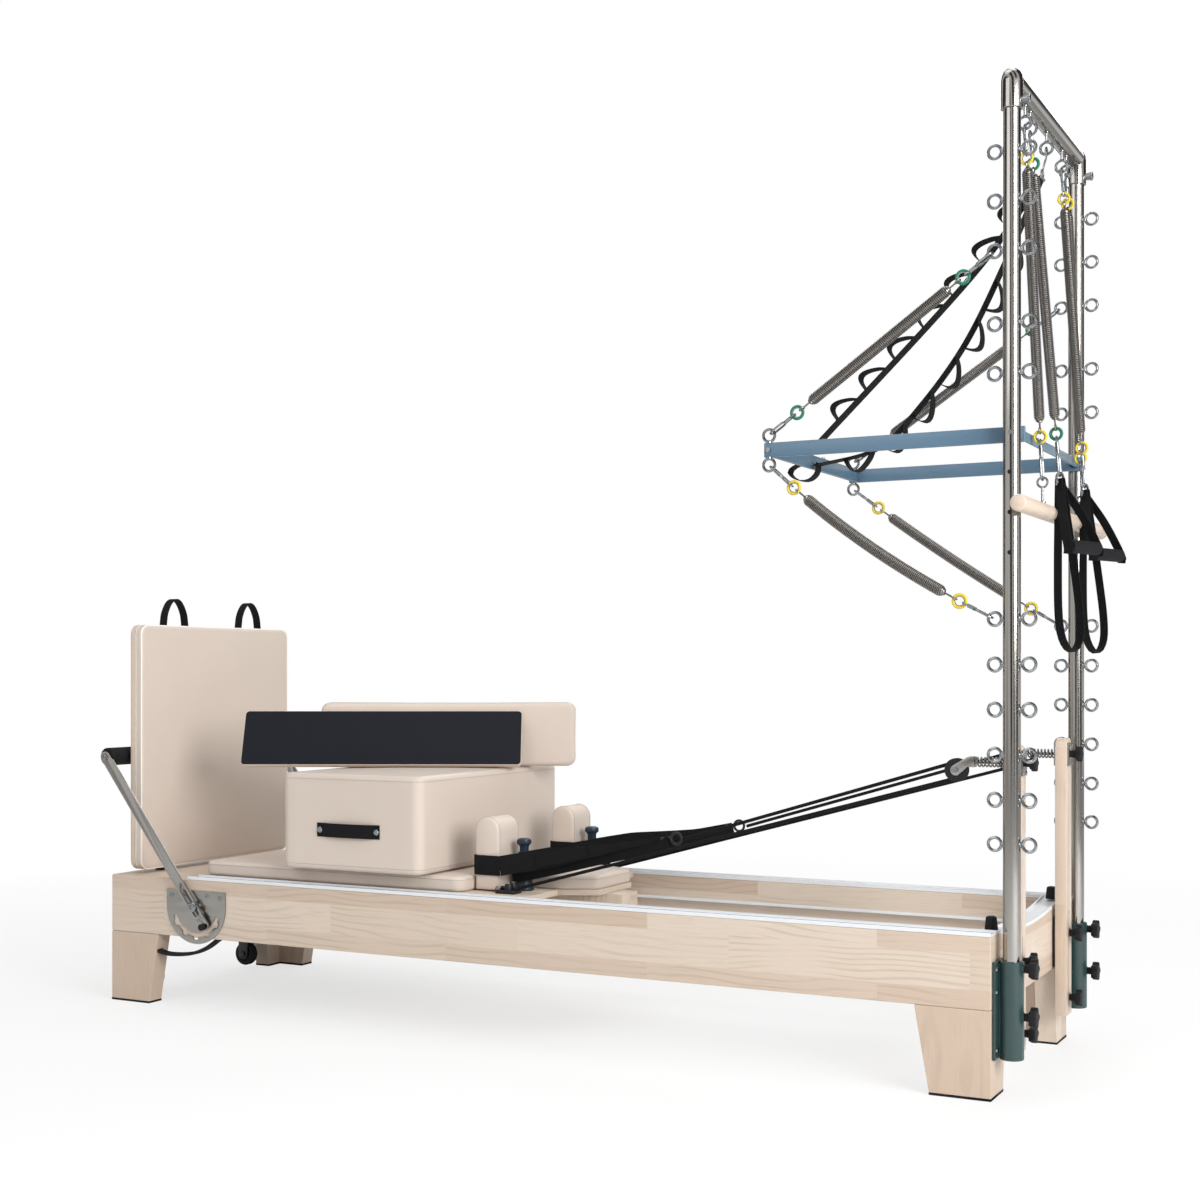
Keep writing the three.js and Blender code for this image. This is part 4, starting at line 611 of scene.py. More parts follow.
def add_piece(name, bm, finish, body="root", node=None, angle=38):
    """Makes a piece of a bmesh, with its finish; it rides its body, unless a blend will carry it."""
    bmesh.ops.transform(bm, matrix=TO_FRAME, verts=bm.verts)
    bmesh.ops.recalc_face_normals(bm, faces=bm.faces)
    mesh = bpy.data.meshes.new(name)
    bm.to_mesh(mesh)
    bm.free()
    mesh.shade_smooth()
    mesh.set_sharp_from_angle(angle=math.radians(angle))
    material, slot = finishes[finish]
    mesh.materials.append(material)
    made = bpy.data.objects.new(name, mesh)
    bpy.context.scene.collection.objects.link(made)
    if body:
        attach(made, body)
    if node:
        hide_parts(node)
    return made


def add_pieces(stem, parts, body="root", node=None):
    """Makes the pieces that share a body and a node, each given as its part's name, bmesh and finish."""
    for part, bm, finish in parts:
        add_piece(f"{stem}_{part}", bm, finish, body, node)


def dress(node, finish, edge=0.0):
    """Gives a frame node its finish, and rounds its edges."""
    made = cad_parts[node]
    for held in made.material_slots:
        held.material = finishes[finish][0]
    if edge:
        weld = made.modifiers.new("weld", "WELD")
        weld.merge_threshold = 0.00002
        rounding = made.modifiers.new("edges", "BEVEL")
        rounding.width = edge
        rounding.segments = 3
        rounding.limit_method = "ANGLE"
        rounding.angle_limit = math.radians(40)


def spread(share, half, zone):
    """Packs an even grid's outer lines, the last 45 in 100, into the zone that is rounded."""
    reach = abs(share)
    packed = 0.55
    if reach > packed:
        place = half - zone * (1 - reach) / (1 - packed)
    else:
        place = (half - zone) * reach / packed
    return math.copysign(place, share)


class Cushion:
    """A padded block about its middle, base at zero: round corners, soft rims, crown and drawn-in sides."""

    def __init__(self, size, corner, edge, crown, pull, crease):
        self.half = [side / 2 for side in size]
        self.corner, self.edge, self.crown, self.pull, self.crease = corner, edge, crown, pull, crease

    def shape(self, point):
        hx, hy, hz = self.half
        x, y, z = abs(point[0]), abs(point[1]), abs(point[2])
        inset = min(hx - x, hy - y)
        side, rise = self.edge - inset, z - (hz - self.edge)
        drop = 0.0
        if side > 0 and rise > 0:
            fit = max(side, rise) / math.hypot(side, rise)
            drop, z = side * (1 - fit), hz - self.edge + rise * fit
        flank = max(0.0, 1 - inset / self.edge) * (1 - (z / hz) ** 2) * self.pull
        qx, qy = x - (hx - self.corner), y - (hy - self.corner)
        if qx > 0 and qy > 0:
            fit = (max(qx, qy) - drop) / math.hypot(qx, qy)
            x, y = hx - self.corner + qx * fit, hy - self.corner + qy * fit
        elif hx - x <= hy - y:
            x -= drop + flank * (1 - (y / hy) ** 2)
        else:
            y -= drop + flank * (1 - (x / hx) ** 2)
        if point[2] > 0:
            z += self.crown * (1 - (x / hx) ** 2) * (1 - (y / hy) ** 2)
        signs = [math.copysign(1, part) for part in point]
        made = Vector((x * signs[0], y * signs[1], z * signs[2] + hz))
        ripple = noise.noise(made / 70) + 0.5 * noise.noise(made / 28)
        return made + (made - UP * hz).normalized() * ripple * self.crease

    def fill(self, bm, place, cuts=22):
        verts = bmesh.ops.create_cube(bm, size=2)["verts"]
        bmesh.ops.subdivide_edges(bm, edges=edges_of(verts), cuts=cuts, use_grid_fill=True)
        for vert in bm.verts:
            zones = (self.corner, self.corner, self.edge)
            square = [spread(share, half, zone) for share, half, zone in zip(vert.co, self.half, zones)]
            vert.co = place @ self.shape(square)

    def seam(self, place, height, proud, inset=0.0, count=28):
        """The closed line that a seam follows round the sides at a height from the middle."""
        hx, hy, _ = self.half
        corners = [(x * (hx - inset), y * (hy - inset)) for x, y in ((-1, -1), (1, -1), (1, 1), (-1, 1))]
        line = []
        for (ax, ay), (bx, by) in zip(corners, corners[1:] + corners[:1]):
            for i in range(count):
                share = 0.5 - 0.5 * math.cos(math.pi * i / count)
                flat_point = self.shape((ax + (bx - ax) * share, ay + (by - ay) * share, height))
                out = Vector((flat_point.x, flat_point.y, 0)).normalized()
                line.append(place @ (flat_point + out * proud))
        return [*line, line[0], line[1]]


def pad(name, cushion, place, body, node, seams=(), seam_radius=1.0):
    """A padded piece with its sewn seams."""
    bm = bmesh.new()
    cushion.fill(bm, place)
    made = add_piece(f"{name}_cover", bm, "leather", body, node, angle=80)
    if seams:
        bm = bmesh.new()
        for height, inset in seams:
            sweep(bm, cushion.seam(place, height, -0.35 * seam_radius, inset), 2 * seam_radius, sides=6)
        add_piece(f"{name}_seams", bm, "seam", body, node, angle=60)
    return made


def screw(bm, at, axis, radius, rise=2.0):
    """A domed screw head with its driver recess as a step."""
    axis = Vector(axis)
    turn(bm, [(0, 0), (radius, 0), (radius, rise * 0.4), (radius * 0.72, rise), (radius * 0.36, rise),
              (radius * 0.3, rise * 0.45), (0, rise * 0.45)], Vector(at), axis, 16)


def nut(bm, at, axis, radius, height):
    bar(bm, Vector(at), Vector(at) + Vector(axis) * height, radius, sides=6)


def star_knob(bm, at, lobes=5, radius=21, thick=15, stand=15):
    """A moulded star knob whose stem points along X from its seat."""
    loop = []
    for i in range(60):
        angle = 2 * math.pi * i / 60
        reach = radius * (0.86 + 0.14 * math.cos(lobes * angle))
        loop.append((at[1] + reach * math.cos(angle), at[2] + reach * math.sin(angle)))
    flat(bm, [loop], thick, 2.5, Matrix.Translation((at[0] + stand + thick / 2, 0, 0)) @ YZ)
    bar(bm, at, (at[0] + stand + 2, at[1], at[2]), 8, 16, 10)


def eye_bolt(bm, centre, foot, radius=14.2, wire=3.5):
    """A ring on a stem, with a collar where the stem meets what holds it."""
    centre, foot = Vector(centre), Vector(foot)
    way = (foot - centre).normalized()
    ring(bm, centre, radius, wire, ACROSS, 24, 8)
    bar(bm, centre + way * (radius + 1), foot, 3, 10)
    bar(bm, foot - way * 3.5, foot + way * 0.6, 6.5, 12)


def snap_hook(bm, at, way, span):
    """A snap hook from inside one ring to inside the next, both of which lie flat across Y."""
    side, half, loop_end = ACROSS, 11.0, span * 0.6
    line = [at + way * (half - half * math.cos(a)) + side * half * math.sin(a)
            for a in [math.radians(-90 + 18 * i) for i in range(11)]]
    neck, tip = at + way * (loop_end * 0.8), at + way * loop_end
    line += [neck + side * half, tip + side * 3, tip - side * 3, neck - side * half]
    sweep(bm, smooth_path([*line, line[0], line[1]], 40), 5.2, sides=8)
    bar(bm, tip - way * 3, at + way * (span - 13), 4.6, 12)
    ring(bm, at + way * (span - 7), 6.5, 2.3, way.cross(side), 20, 8)


def wound(bm, line, radius, wire, pitch, span, taper=14.0, steps=10, sides=5):
    """A close-wound spring along a line, necked in at both ends."""
    turns = 8 * max(1, round(span / pitch / 8))
    fresh = bmesh.new()
    helix(fresh, radius, wire, span / turns, turns, steps, sides)
    for vert in fresh.verts:
        share = min(max(vert.co.z / span, 0.0), 1.0)
        near_end = min(share, 1 - share) * span
        neck = 0.4 + 0.6 * math.sin(min(near_end / taper, 1) * math.pi / 2) if taper else 1.0
        along = (line(min(share + 0.01, 1)) - line(max(share - 0.01, 0))).normalized()
        turned = along.to_track_quat("Z", "Y")
        vert.co = line(share) + turned @ Vector((vert.co.x * neck, vert.co.y * neck, 0))
    join(bm, fresh)


def straight_coil(bm, first, last, radius, wire, pitch, **settings):
    wound(bm, lambda share: first.lerp(last, share), radius, wire, pitch, (last - first).length, **settings)


def tower_spring(name, start, stop, hardware, sizes, sleeve, child, sag=(0, 0, 0), bold=1.0):
    """A tower spring from one eye to another: snap hook, sleeved ring, neck and close-wound body.

    The hardware is how far the ring's middle and the body's end are from each eye.
    """
    start, stop, sag = Vector(start), Vector(stop), Vector(sag)
    span = (stop - start).length

    def line(share):
        return start.lerp(stop, share) + sag * 4 * share * (1 - share)

    first_ring, first_body, last_ring, last_body = hardware
    low, high = first_body / span, 1 - last_body / span
    ends = (line(low), line(high))
    coil, hooks, rings = bmesh.new(), bmesh.new(), bmesh.new()
    wire = in_mm(sizes.spring_wire)
    radius, length_wound = in_mm(sizes.spring_body) * bold - wire, (ends[1] - ends[0]).length
    wound(coil, lambda share: line(low + (high - low) * share), radius, wire, 2.15 * wire, length_wound)
    for end, seat, ring_at, body_at in ((start, 0, first_ring, first_body), (stop, 1, last_ring, last_body)):
        toward = line(abs(seat - ring_at / span))
        way = (toward - end).normalized()
        snap_hook(hooks, end + way * 5.5, way, ring_at - 11)
        ring(rings, toward, 12.8 * bold, 3 * bold, ACROSS, 32, 10)
        ring(hooks, toward, 9.6 * bold, 1.2 * bold, ACROSS, 28, 6)
        body_end = line(abs(seat - body_at / span))
        onward = (body_end - toward).normalized()
        ring(coil, toward + onward * 14, 6.5, wire, onward.cross(ACROSS), 18, 6)
        bar(coil, toward + onward * 20, body_end + onward * 3, wire * 1.1, 8)
    for part, bm, finish in (("coil", coil, "spring"), ("hooks", hooks, "zinc"), ("rings", rings, sleeve)):
        made = add_piece(f"{name}_{part}", bm, finish, None, name)
        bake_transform(made, "root", child, start=TO_FRAME @ ends[1], end=TO_FRAME @ ends[0])


# Stage and camera


class TOWER_OT_stage(Operator):
    """Pale floor, soft studio lamps, white surround and the camera"""

    bl_idname = "tower_unit.stage"
    bl_label = "Stage and camera"

    def execute(self, context):
        scene = context.scene
        scene.view_settings.view_transform = "Standard"
        lens = bpy.data.cameras.new("camera")
        lens.sensor_width = 36
        lens.lens = 51.1
        lens.shift_y = 0.0605
        lens.clip_end = 60
        camera = bpy.data.objects.new("camera", lens)
        camera.location = TO_FRAME @ Vector((935.7, -3964.1, 913.6))
        camera.rotation_euler = (math.radians(90), 0, math.radians(27.5))
        scene.collection.objects.link(camera)
        scene.camera = camera
        # Each lamp's place in metres, the sides of its panel and its watts
        lamps = {
            "key": ((-1.2, -4.4, 3.4), (3.2, 2.4), 44),
            "fill": ((4.8, -2.4, 2.4), (2.6, 2.6), 240),
            "back": ((-0.5, 4.2, 4.0), (4.0, 2.0), 60),
            "top": ((0.2, -0.2, 5.2), (4.5, 3.0), 70),
        }
        for name, (place, size, power) in lamps.items():
            lamp = bpy.data.lights.new(name, "AREA")
            lamp.shape = "RECTANGLE"
            lamp.size, lamp.size_y = size
            lamp.energy = power
            holder = bpy.data.objects.new(name, lamp)
            holder.location = place
            holder.rotation_euler = (Vector((0, 0, 0.7)) - Vector(place)).to_track_quat("-Z", "Y").to_euler()
            scene.collection.objects.link(holder)
        self.surround(scene)
        self.floor(scene)
        return {"FINISHED"}

    def surround(self, scene):
        world = bpy.data.worlds.new("surround")
        world.use_nodes = True
        scene.world = world
        tree = world.node_tree
        lit = tree.nodes["Background"]
        rays = add_node(tree, "ShaderNodeLightPath").outputs
        # Dark and bright screens stand round the studio, and only polished metal shows them
        facing = add_node(tree, "ShaderNodeTexCoord", out="Generated")
        around = {"Vector": facing, "Scale": 0.75, "Distortion": 1.5}
        screens = add_node(tree, "ShaderNodeTexWave", around, "Fac", bands_direction="DIAGONAL")
        contrast = {"Value": screens, "From Min": 0.38, "From Max": 0.9, "To Min": 0.05, "To Max": 0.9}
        banded = add_node(tree, "ShaderNodeMapRange", contrast, "Result")
        soft = add_node(tree, "ShaderNodeMix", {0: rays["Is Glossy Ray"], 2: 0.5, 3: banded}, 0)
        level = add_node(tree, "ShaderNodeMix", {0: rays["Is Camera Ray"], 2: soft, 3: 1.0}, 0)
        tree.links.new(level, lit.inputs["Strength"])
        lit.inputs["Color"].default_value = (1, 1, 1, 1)
        tree.links.new(lit.outputs[0], tree.nodes["World Output"].inputs["Surface"])

    def floor(self, scene):
        bm = bmesh.new()
        bmesh.ops.create_circle(bm, cap_ends=True, segments=64, radius=14)
        mesh = bpy.data.meshes.new("floor")
        bm.to_mesh(mesh)
        bm.free()
        made = bpy.data.objects.new("floor", mesh)
        material, tree, surface, place = start_finish("pale floor", 0.9)
        surface.inputs["Base Color"].default_value = (0.86, 0.86, 0.86, 1)
        camera_ray = add_node(tree, "ShaderNodeLightPath", out="Is Camera Ray")
        glow = add_node(tree, "ShaderNodeEmission", {"Color": (1, 1, 1, 1), "Strength": 1.0}, 0)
        # The floor fades into the white surround from 1.6 m to 4.2 m out, and keeps the shadow nearer in
        reach = add_node(tree, "ShaderNodeVectorMath", {0: place}, "Value", operation="LENGTH")
        edge = {"Value": reach, "From Min": 1.6, "From Max": 4.2, "To Min": 0.68, "To Max": 1.0}
        fade = add_node(tree, "ShaderNodeMapRange", edge, "Result")
        seen = add_node(tree, "ShaderNodeMath", {0: camera_ray, 1: fade}, 0, operation="MULTIPLY")
        mixed = add_node(tree, "ShaderNodeMixShader", {0: seen, 1: surface.outputs[0], 2: glow}, 0)
        tree.links.new(mixed, tree.nodes["Material Output"].inputs["Surface"])
        mesh.materials.append(material)
        scene.collection.objects.link(made)


# Ropes and straps on the carriage


def mirrored(points, side):
    """Points of the far side, or of the near side with Y turned over."""
    return [Vector((p[0], p[1] * side, p[2])) for p in points]


def rope_piece(name, points, node):
    bm = bmesh.new()
    sweep(bm, points, ROPE_WIDE, sides=12)
    return add_piece(name, bm, "rope", "root", node, angle=80)


def rope_run(name, points, node):
    """A run of rope along points, with a mesh of its own."""
    made = rope_piece(name, points, node)
    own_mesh(made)


class TOWER_OT_ropes(Operator):
    """Ropes from each loop's ring round its pulley and back to the cleat"""

    bl_idname = "tower_unit.ropes"
    bl_label = "Ropes"

    def execute(self, context):
        for word, side in SIDES.items():
            node = f"rope_{word}"
            cleat = Vector((-1223, CLEAT_Y, DECK_TOP + 14))
            upper = evenly(RING + AHEAD * ROPE_REACH, SHEAVE + UP * ROPE_REACH, 16)
            lower = evenly(SHEAVE - UP * ROPE_REACH, cleat, 16)
            bend = [SHEAVE + (AHEAD * math.sin(a) + UP * math.cos(a)) * ROPE_REACH
                    for a in [math.pi * i / 20 for i in range(21)]]
            rope_run(f"{node}_upper", mirrored(upper, side), node)
            rope_run(f"{node}_lower", mirrored(lower, side), node)
            rope_piece(f"{node}_bend", mirrored(bend, side), node)
        return {"FINISHED"}


class TOWER_OT_loops(Operator):
    """Webbing loops hung round the shoulder rests, with their rings and the short loops on the spools"""

    bl_idname = "tower_unit.loops"
    bl_label = "Strap loops"

    def execute(self, context):
        # A loop goes round the outside of its shoulder rest, a little above the middle
        out, rest_z, back, front, tail_x = 59.1, 424.0, -1358.4, -1287.0, -1280.0
        outer, inner = REST_Y + out, REST_Y - out
        for word, side in SIDES.items():
            node = f"strap_loop_{word}"
            half = [(tail_x, out), (front, out), (back + 14, out), (back + 3, out - 3), (back, out - 14)]
            around = half + [(x, -y) for x, y in reversed(half)]
            bight = [(x, REST_Y + y, rest_z) for x, y in around]
            bm = bmesh.new()
            sweep(bm, mirrored(bight, side), 3, 50, UP)
            add_piece(f"{node}_bight", bm, "webbing", "carriage", node)
            tail, trim = bmesh.new(), bmesh.new()
            for y in (outer, inner):
                inward = RING.y - y
                leg = [(tail_x, y, rest_z), (-1180, y + inward * 0.24, rest_z + 19),
                       (-1000, y + inward * 0.62, rest_z + 52), (-838, RING.y - inward * 0.05, RING.z)]
                sweep(tail, mirrored(smooth_path(leg, 18), side), 3, 50, UP, taper=self.narrow)
                first, last = [Vector(p) + ACROSS * math.copysign(3.4, y - REST_Y) for p in leg[1:3]]
                cover = mirrored(evenly(first, first.lerp(last, 0.75), 8), side)
                sweep(tail, cover, 3.4, 40, UP, taper=lambda share: 1 - 0.25 * share)
            # The short loop goes round the spool
            short = [(-834, RING.y + 5, 497), (-1130, 214, 420), (-1236, 216, 396), (-1272, 206, 392),
                     (-1279, 186, 391), (-1272, 166, 392), (-1236, 158, 396), (-1130, 170, 420),
                     (-834, RING.y - 5, 497)]
            sweep(tail, mirrored(smooth_path(short, 44), side), 2.4, 24, UP)
            ring(trim, *mirrored([RING - AHEAD * 4], side), 14, 3.4, ACROSS, 28, 10)
            bar(trim, *mirrored([(-846, RING.y - 24, RING.z), (-846, RING.y + 24, RING.z)], side), 3, 12)
            for part, bm, finish in (("tail", tail, "webbing"), ("ring", trim, "nylon")):
                made = add_piece(f"{node}_{part}", bm, finish, "carriage", node)
                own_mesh(made)
        return {"FINISHED"}

    def narrow(self, share):
        """The webbing folds in on itself towards its ring."""
        return 1 - 0.72 * min(max((share - 0.3) / 0.45, 0), 1)


# Bed


class TOWER_OT_frame(Operator):
    """Side rails, crosspieces, platform and legs of varnished beech"""

    bl_idname = "tower_unit.frame"
    bl_label = "Wooden frame"

    def execute(self, context):
        edge = context.scene.tower_sizes.edge
        for side in SIDES:
            dress(f"side_rail_{side}", "beech_x", edge)
            for end in ("head", "foot"):
                dress(f"{end}_leg_{side}", "beech_z", edge)
        dress("foot_platform", "beech_top", edge / 2)
        self.head()
        self.foot()
        self.feet()
        return {"FINISHED"}

    def head(self):
        """The head board, whose top dips in the middle, under its aluminium channel."""
        top, dip, cap = 358.5, 20.0, 8.5

        def bent(low, high):
            bm = bmesh.new()
            block(bm, low, high, cuts=(0, 24, 0))
            for vert in bm.verts:
                if vert.co.z > BOARD_BASE + 1:
                    vert.co.z -= dip * (1 - (vert.co.y / HALF_GAP) ** 2)
            return bm

        wood = bent((-50, -HALF_GAP, BOARD_BASE), (0, HALF_GAP, top - cap))
        soften(wood, 1.2, 2)
        add_piece("head_board", wood, "beech_y", node="head_crosspiece")
        trim = bent((-50, -HALF_GAP, top - cap + 0.2), (0, HALF_GAP, top - cap + 3.6))
        for x in (-50, -4):
            join(trim, bent((x, -HALF_GAP, top - cap + 3), (x + 4, HALF_GAP, top)))
        soften(trim, 0.6, 2)
        add_piece("head_channel", trim, "track", node="head_crosspiece")

    def foot(self):
        """The foot board, and the lugs under it that hold the transport wheels' axles."""
        bm = bmesh.new()
        block(bm, (FOOT_X, -HALF_GAP, BOARD_BASE), (FOOT_X + 50, HALF_GAP, 331.7))
        soften(bm, 2)
        add_piece("foot_board", bm, "beech_y", node="foot_crosspiece")
        lugs = bmesh.new()
        x, z, half = WHEEL.x, WHEEL.z, 17
        loop = [(x - half, BOARD_BASE), *arc((x, z), half, 180, 360, 14), (x + half, BOARD_BASE)]
        for side in SIDES.values():
            y = side * WHEEL.y
            for middle in (y - 15.5, y + 15.5):
                flat(lugs, [loop], 4, 0.5, Matrix.Translation((0, middle, 0)) @ XZ)
            bar(lugs, (x, y - 19, z), (x, y + 19, z), 5, 16)
            for way in (-1, 1):
                nut(lugs, (x, y + way * 18, z), ACROSS * way, 9, 5)
        add_piece("wheel_lugs", lugs, "black_steel", node="foot_crosspiece")

    def feet(self):
        """Rubber pads under the L-shaped legs, two blocks to each leg."""
        bm = bmesh.new()
        for end_x, way in ((0.0, -1), (FOOT_X, 1)):
            for side in SIDES.values():
                for long, inner in ((135.4, 316.4), (50.6, 261.2)):
                    low, high = sorted((end_x - way * 0.6, end_x + way * long))
                    rounded_block(bm, (low, side * inner, 0), (high, side * 367.6, 6), 0.8)
        add_piece("leg_pads", bm, "rubber")


class TOWER_OT_tracks(Operator):
    """Aluminium tracks on the rails, with painted shade in their grooves, their screws and end stops"""

    bl_idname = "tower_unit.tracks"
    bl_label = "Tracks"

    def execute(self, context):
        radius = in_mm(context.scene.tower_sizes.screw)
        groove, screws, stops = bmesh.new(), bmesh.new(), bmesh.new()
        # Each strip of a track's section: its Y from and to, its underside and its top
        section = ((317, 367, 350.4, 354.3), (317, 321, 354.3, 358.8), (363, 367, 354.3, 358.8),
                   (284.7, 316.6, 290, 293), (284.7, 287.7, 292.8, 297))
        for word, side in SIDES.items():
            bm = bmesh.new()
            for first, last, base, top in section:
                low, high = sorted((side * first, side * last))
                block(bm, (-2204, low, base), (-0.2, high, top))
            add_piece(f"track_{word}_strips", bm, "track", node=f"track_{word}")
            # Two thin dark strips on each channel's floor are painted shade of its grooves
            for inset in (-9, 9):
                y = side * 342 + inset
                block(groove, (-2200, y - 2.5, 354.2), (-2, y + 2.5, 354.8))
            for i in range(9):
                screw(screws, (-2100 + 255 * i, side * 342, 354.3), UP, radius, 1.6)
            turn(stops, [(0, 0), (14, 0), (14.5, 3), (12, 26), (10.5, 29), (7, 30.5), (0, 31)],
                 Vector((-19, side * 289, 354.4)), UP, 28)
        add_piece("track_groove_shade_strips", groove, "groove")
        add_piece("track_screws", screws, "zinc")
        add_piece("end_stops", stops, "rubber")
        strap = bmesh.new()
        line = ((-2330, 150), (-2280, 140), (-2204, 146), (-2150, 164), (-2106, 192))
        sweep(strap, smooth_path([(x, -352, z) for x, z in line], 24), 9, 18, ACROSS)
        add_piece("lower_strap", strap, "rubber")
        return {"FINISHED"}


class TOWER_OT_wheels(Operator):
    """Rubber-tyred transport wheels under the foot end"""

    bl_idname = "tower_unit.wheels"
    bl_label = "Transport wheels"

    def execute(self, context):
        tyre = [(22, -12), (31, -12), (34, -10.6), (35, -7), (35, 7), (34, 10.6), (31, 12), (22, 12)]
        hub = [(5.5, -11), (21, -9), (22, -8), (22, 8), (21, 9), (5.5, 11), (5.5, -11)]
        for word, side in SIDES.items():
            node, centre = f"transport_wheel_{word}", mirrored([WHEEL], side)[0]
            for part, shape, finish in (("tyre", [*tyre, tyre[0]], "rubber"), ("hub", hub, "nylon")):
                bm = bmesh.new()
                turn(bm, shape, centre, ACROSS, 40)
                if part == "hub":
                    for x, z in arc((centre.x, centre.z), 13.5, 0, 300, 5):
                        bar(bm, (x, centre.y - 10.6, z), (x, centre.y + 10.6, z), 2.6, 10)
                add_piece(f"{node}_{part}", bm, finish, f"wheel_{word}", node)
        return {"FINISHED"}


# Carriage


class TOWER_OT_carriage(Operator):
    """Carriage board with its runner, rollers, cleats, spools and springs"""

    bl_idname = "tower_unit.carriage"
    bl_label = "Carriage"

    def execute(self, context):
        head, half, notch_x, notch_y = -1177.0, 311.0, -1357.5, 140.5
        loop = rounded_loop((PAD_FOOT, -half), (head, half), 18)
        loop += [(head, -notch_y), (notch_x, -notch_y), (notch_x, notch_y), (head, notch_y)]
        bm = bmesh.new()
        flat(bm, [loop], 14.8, 1.5, Matrix.Translation(UP * BOARD_Z))
        add_piece("carriage_board", bm, "plywood", "carriage", "carriage_base")
        bm = bmesh.new()
        block(bm, (-1500, -45, 301), (-1040, 45, 341.6))
        for low in (-128, 90):
            block(bm, (-2150, low, 322), (-1380, low + 38, 341.6))
        soften(bm, 1.5, 2)
        add_piece("carriage_runner", bm, "beech_top", "carriage", "carriage_base")
        self.rollers()
        self.cleats(in_mm(context.scene.tower_sizes.screw) * 0.9)
        self.springs()
        profile = [(0, 0), (25, 0), (26, 1.5), (26, 6), (23, 14), (20.5, 30), (19.5, 36), (15, 40),
                   (12.5, 46), (12, 108), (13, 114), (18, 118), (19, 120.5), (19, 126), (17.5, 130),
                   (12, 132.6), (0, 133)]
        for word, side in SIDES.items():
            bm = bmesh.new()
            turn(bm, profile, Vector((-1250, side * 186, DECK_TOP + 0.3)), UP, 40)
            add_piece(f"spool_{word}_post", bm, "slate", "carriage", f"spool_{word}", angle=30)
        return {"FINISHED"}

    def rollers(self):
        """Rollers on their brackets, and the plate whose rings hold the springs."""
        wheels, brackets = bmesh.new(), bmesh.new()
        profile = [(4, -11), (17, -11), (20, -8), (20, 8), (17, 11), (4, 11), (4, -11)]
        axle_z, top = 313.4, 341.8
        for x in (-2115, -1257):
            for side in (-1, 1):
                turn(wheels, profile, Vector((x, side * 297, axle_z)), ACROSS, 28)
                bar(brackets, (x, side * 284, axle_z), (x, side * 309, axle_z), 4, 12)
                block(brackets, (x - 14, side * 283 - 2, 302), (x + 14, side * 283 + 2, top))
        block(brackets, (-1559.6, -200, 296), (-1556, 200, top))
        for y in SPRING_YS:
            ring(brackets, (-1566, y, SPRING_Z), 8, 2.2, UP, 20, 8)
        parts = (("rollers", wheels, "nylon"), ("brackets", brackets, "zinc"))
        add_pieces("carriage", parts, "carriage", "carriage_base")

    def cleats(self, screw_radius):
        """Cleats with two cams each, and the end of the rope between them."""
        black, bright = bmesh.new(), bmesh.new()
        cam = [(0, 0), (9, 0), (9.5, 4), (9.5, 14), (8, 17), (0, 17.5)]
        for y in (-CLEAT_Y, CLEAT_Y):
            rounded_block(black, (-1281, y - 20, DECK_TOP), (-1225, y + 20, DECK_TOP + 9), 2.5, 3)
            for cam_y in (y - 11.5, y + 11.5):
                turn(black, cam, Vector((-1246, cam_y, DECK_TOP + 8.5)), UP, 20)
                screw(bright, (-1246, cam_y, DECK_TOP + 25.6), UP, screw_radius, 1.8)
            bar(black, (-1274, y, DECK_TOP + 13), (-1236, y, DECK_TOP + 13), ROPE_WIDE / 2, 12)
            ring(bright, Vector((-1284, y, DECK_TOP + 8)), 7, 1.5, ACROSS, 20, 8)
        add_piece("rope_cleats", black, "nylon", "carriage", "carriage_base")
        add_piece("cleat_screws", bright, "zinc", "carriage", "carriage_base")

    def springs(self):
        """The spring bar across the foot end, and the five springs from it to the carriage."""
        bm = bmesh.new()
        rounded_block(bm, (-2240, -316.6, 297), (-2216, 316.6, 327), 2)
        add_piece("spring_bar", bm, "zinc", node="carriage_springs")
        for i, y in enumerate(SPRING_YS, 1):
            bm = bmesh.new()
            first, last = Vector((-2206, y, SPRING_Z)), Vector((-1580, y, SPRING_Z))
            straight_coil(bm, first, last, 9.2, 1.5, 6.4, taper=16, steps=8)
            bar(bm, first - AHEAD * 11, first + AHEAD * 3, 3, 8)
            bar(bm, last - AHEAD * 3, last + AHEAD * 14, 3, 8)
            made = add_piece(f"carriage_spring_{i}", bm, "spring", None, "carriage_springs")
            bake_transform(made, "root", "carriage", start=TO_FRAME @ first, end=TO_FRAME @ last)


